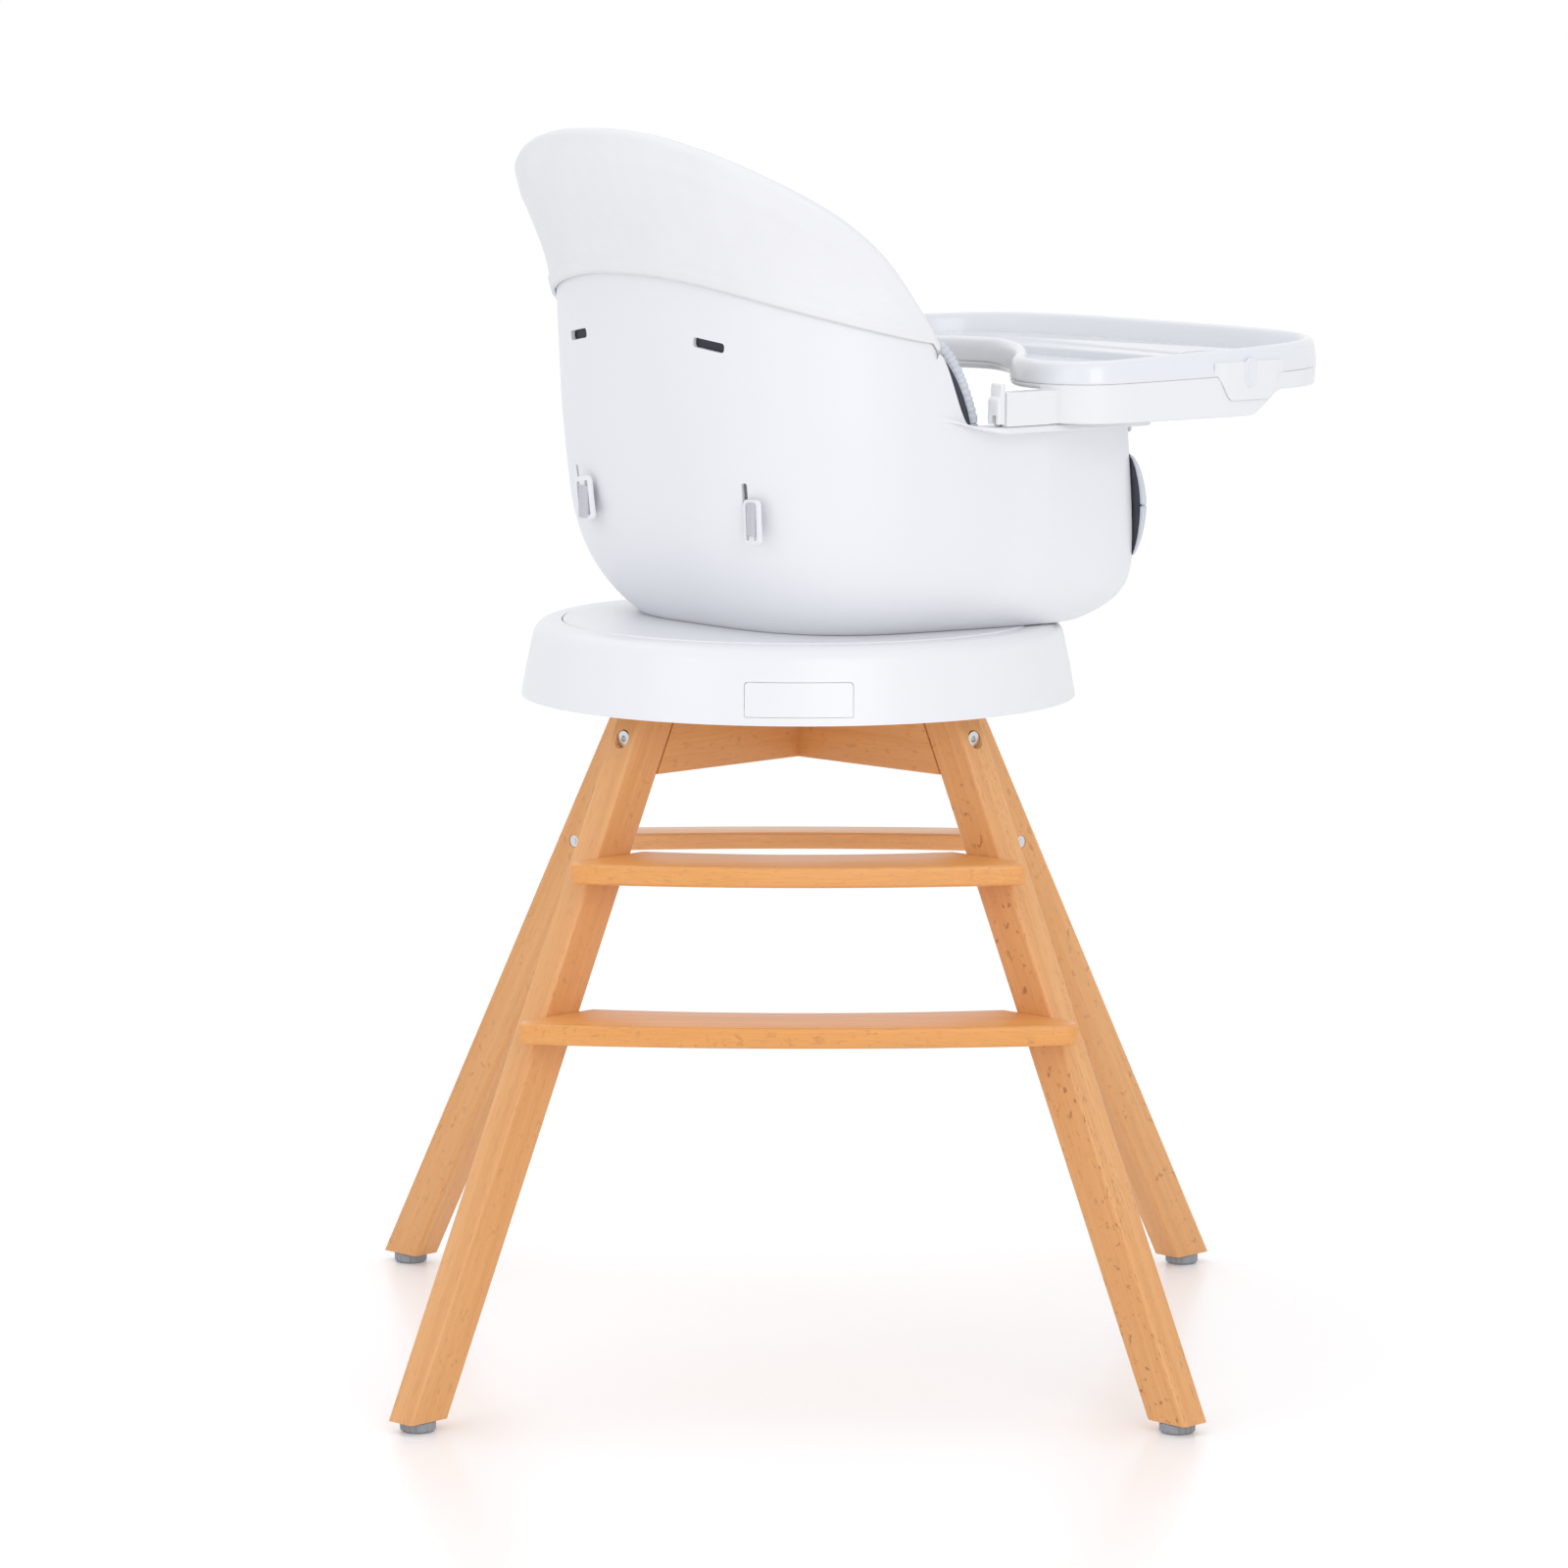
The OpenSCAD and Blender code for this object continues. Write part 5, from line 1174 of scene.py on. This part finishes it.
# %% [markdown]
# The tray's arms run into its skirt, so a short root closes each joint. The release levers are
# L-shaped blocks at the arms' ends, with a tip to pull, a slot that passes the armrest's rail, and a
# pin that reaches into the arm. Roots and blocks have flat faces, so a bevel softens their edges.

# %% Arm roots and release levers
LEVER_Z, LEVER_HALF, PIN_R = TRAY_Z + 17, 6.5, 3
lever = np.array([[24.6, 757.0], [31.6, 757.0], [31.6, 787.2], [30.4, 788.2], [28.6, 788.2], [27.6, 787.2],
                  [27.2, 778.2], [25.6, 777.0], [24.6, 775.6]])
for side, label in SIDES:
    root = np.array([[73.6, 202.7], [84, 202.7], [84, 218.3], [73.6, 218.3]]) * [1, side]
    plate("arm_root_" + label, root, TRAY_Z + 0.1, TRAY_Z + 25.9, "tray", ["tray_base"],
          tray_white, 0.0006)
    rings = np.stack([np.insert(lever, 1, (RAIL_MID + t) * side, axis=1) for t in (-LEVER_HALF, LEVER_HALF)])
    piece = loft("lever_block_" + label, rings, "lever_" + label, ["release_lever_" + label],
                 [tray_white], capped="flat")
    rail_slot = np.array([[20, -2.8], [40, -2.8], [40, 2.8], [20, 2.8]]) + [0, RAIL_MID * side]
    boolean(piece, "DIFFERENCE", np.stack([at_height(rail_slot, z) for z in (750, 763.8)]))
    round_edges(piece, 0.0008)
    rings = np.stack([np.insert(PIN_R * circle(15) + [RAIL_MID * side, LEVER_Z], 0, x, axis=1)
                      for x in (31.0, 46.5, 47.0)])
    loft("lever_pin_" + label, rings, "lever_" + label, ["release_lever_" + label],
         [tray_white])
print("levers made")

# %% [markdown]
# The chair was photographed on white. Here a pale glossy floor meets a world that only the camera
# and reflections see as bright, and three large soft lamps light it. A brighter world would do the
# same, but would wash out the shade. The floor glows a little for the camera alone, so that its far
# edge meets the world.

# %% Studio
WORLD_LIGHT, FLOOR_GLOW = 0.82, 0.09
corners = np.array([(-20, -8, 0), (20, -8, 0), (20, 60, 0), (-20, 60, 0)])
floor = link_mesh("studio_floor", corners, [(0, 1, 2, 3)])
floor_white, tree, shader = new_material("studio floor", Emission_Color=(1, 1, 1, 1))
clouds = noise(tree, here(tree), 2.0, 2.0)
camera_ray = add_node(tree, "ShaderNodeLightPath").outputs["Is Camera Ray"]
feed(tree, shader, Base_Color=mix_colour(tree, clouds, (0.96, 0.962, 0.966), (0.965, 0.967, 0.971)),
     Roughness=ramp(tree, clouds, 0, 1, 0.28, 0.32),
     Emission_Strength=maths(tree, "MULTIPLY", camera_ray, FLOOR_GLOW))
floor.data.materials.append(floor_white)

world = bpy.data.worlds.new("studio")
bpy.context.scene.world = world
world.use_nodes = True
tree = world.node_tree
dim = tree.nodes["Background"]
dim.inputs["Color"].default_value = (0.955, 0.967, 1.0, 1)
dim.inputs["Strength"].default_value = WORLD_LIGHT
bright = add_node(tree, "ShaderNodeBackground", inputs={"Color": (1, 1, 1, 1), "Strength": 1.0})
rays = tree.nodes.new("ShaderNodeLightPath").outputs
seen = maths(tree, "MAXIMUM", rays["Is Camera Ray"], rays["Is Transmission Ray"])
seen = maths(tree, "MAXIMUM", seen, rays["Is Glossy Ray"])
choose = add_node(tree, "ShaderNodeMixShader",
                  inputs={0: seen, 1: dim.outputs[0], 2: bright.outputs[0]})
tree.links.new(choose.outputs[0], tree.nodes["World Output"].inputs[0])


def add_lamp(name, kind, power, matrix):
    """Adds a lamp of the given kind and power, and returns its settings."""
    lamp = bpy.data.lights.new(name, kind)
    lamp.energy = power
    piece = bpy.data.objects.new(name, lamp)
    piece.matrix_world = matrix
    bpy.context.scene.collection.objects.link(piece)
    return lamp


def softbox(name, place, size, power, colour, target=(0, 0, 0.6)):
    """A square area lamp that faces its target."""
    aim = (Vector(target) - Vector(place)).to_track_quat("-Z", "Y").to_matrix().to_4x4()
    lamp = add_lamp(name, "AREA", power, Matrix.Translation(place) @ aim)
    lamp.size, lamp.color = size, colour


softbox("key", (1.3, -3.9, 1.9), 2.4, 32, (1.0, 0.985, 0.965))
softbox("fill", (-2.8, -2.6, 1.8), 2.0, 9, (0.95, 0.97, 1.0))
sky_aim = Matrix.Rotation(math.radians(-18), 4, "X") @ Matrix.Rotation(math.radians(-12), 4, "Y")
add_lamp("sky", "SUN", 0.45, sky_aim).angle = math.radians(70)
print("studio ready")
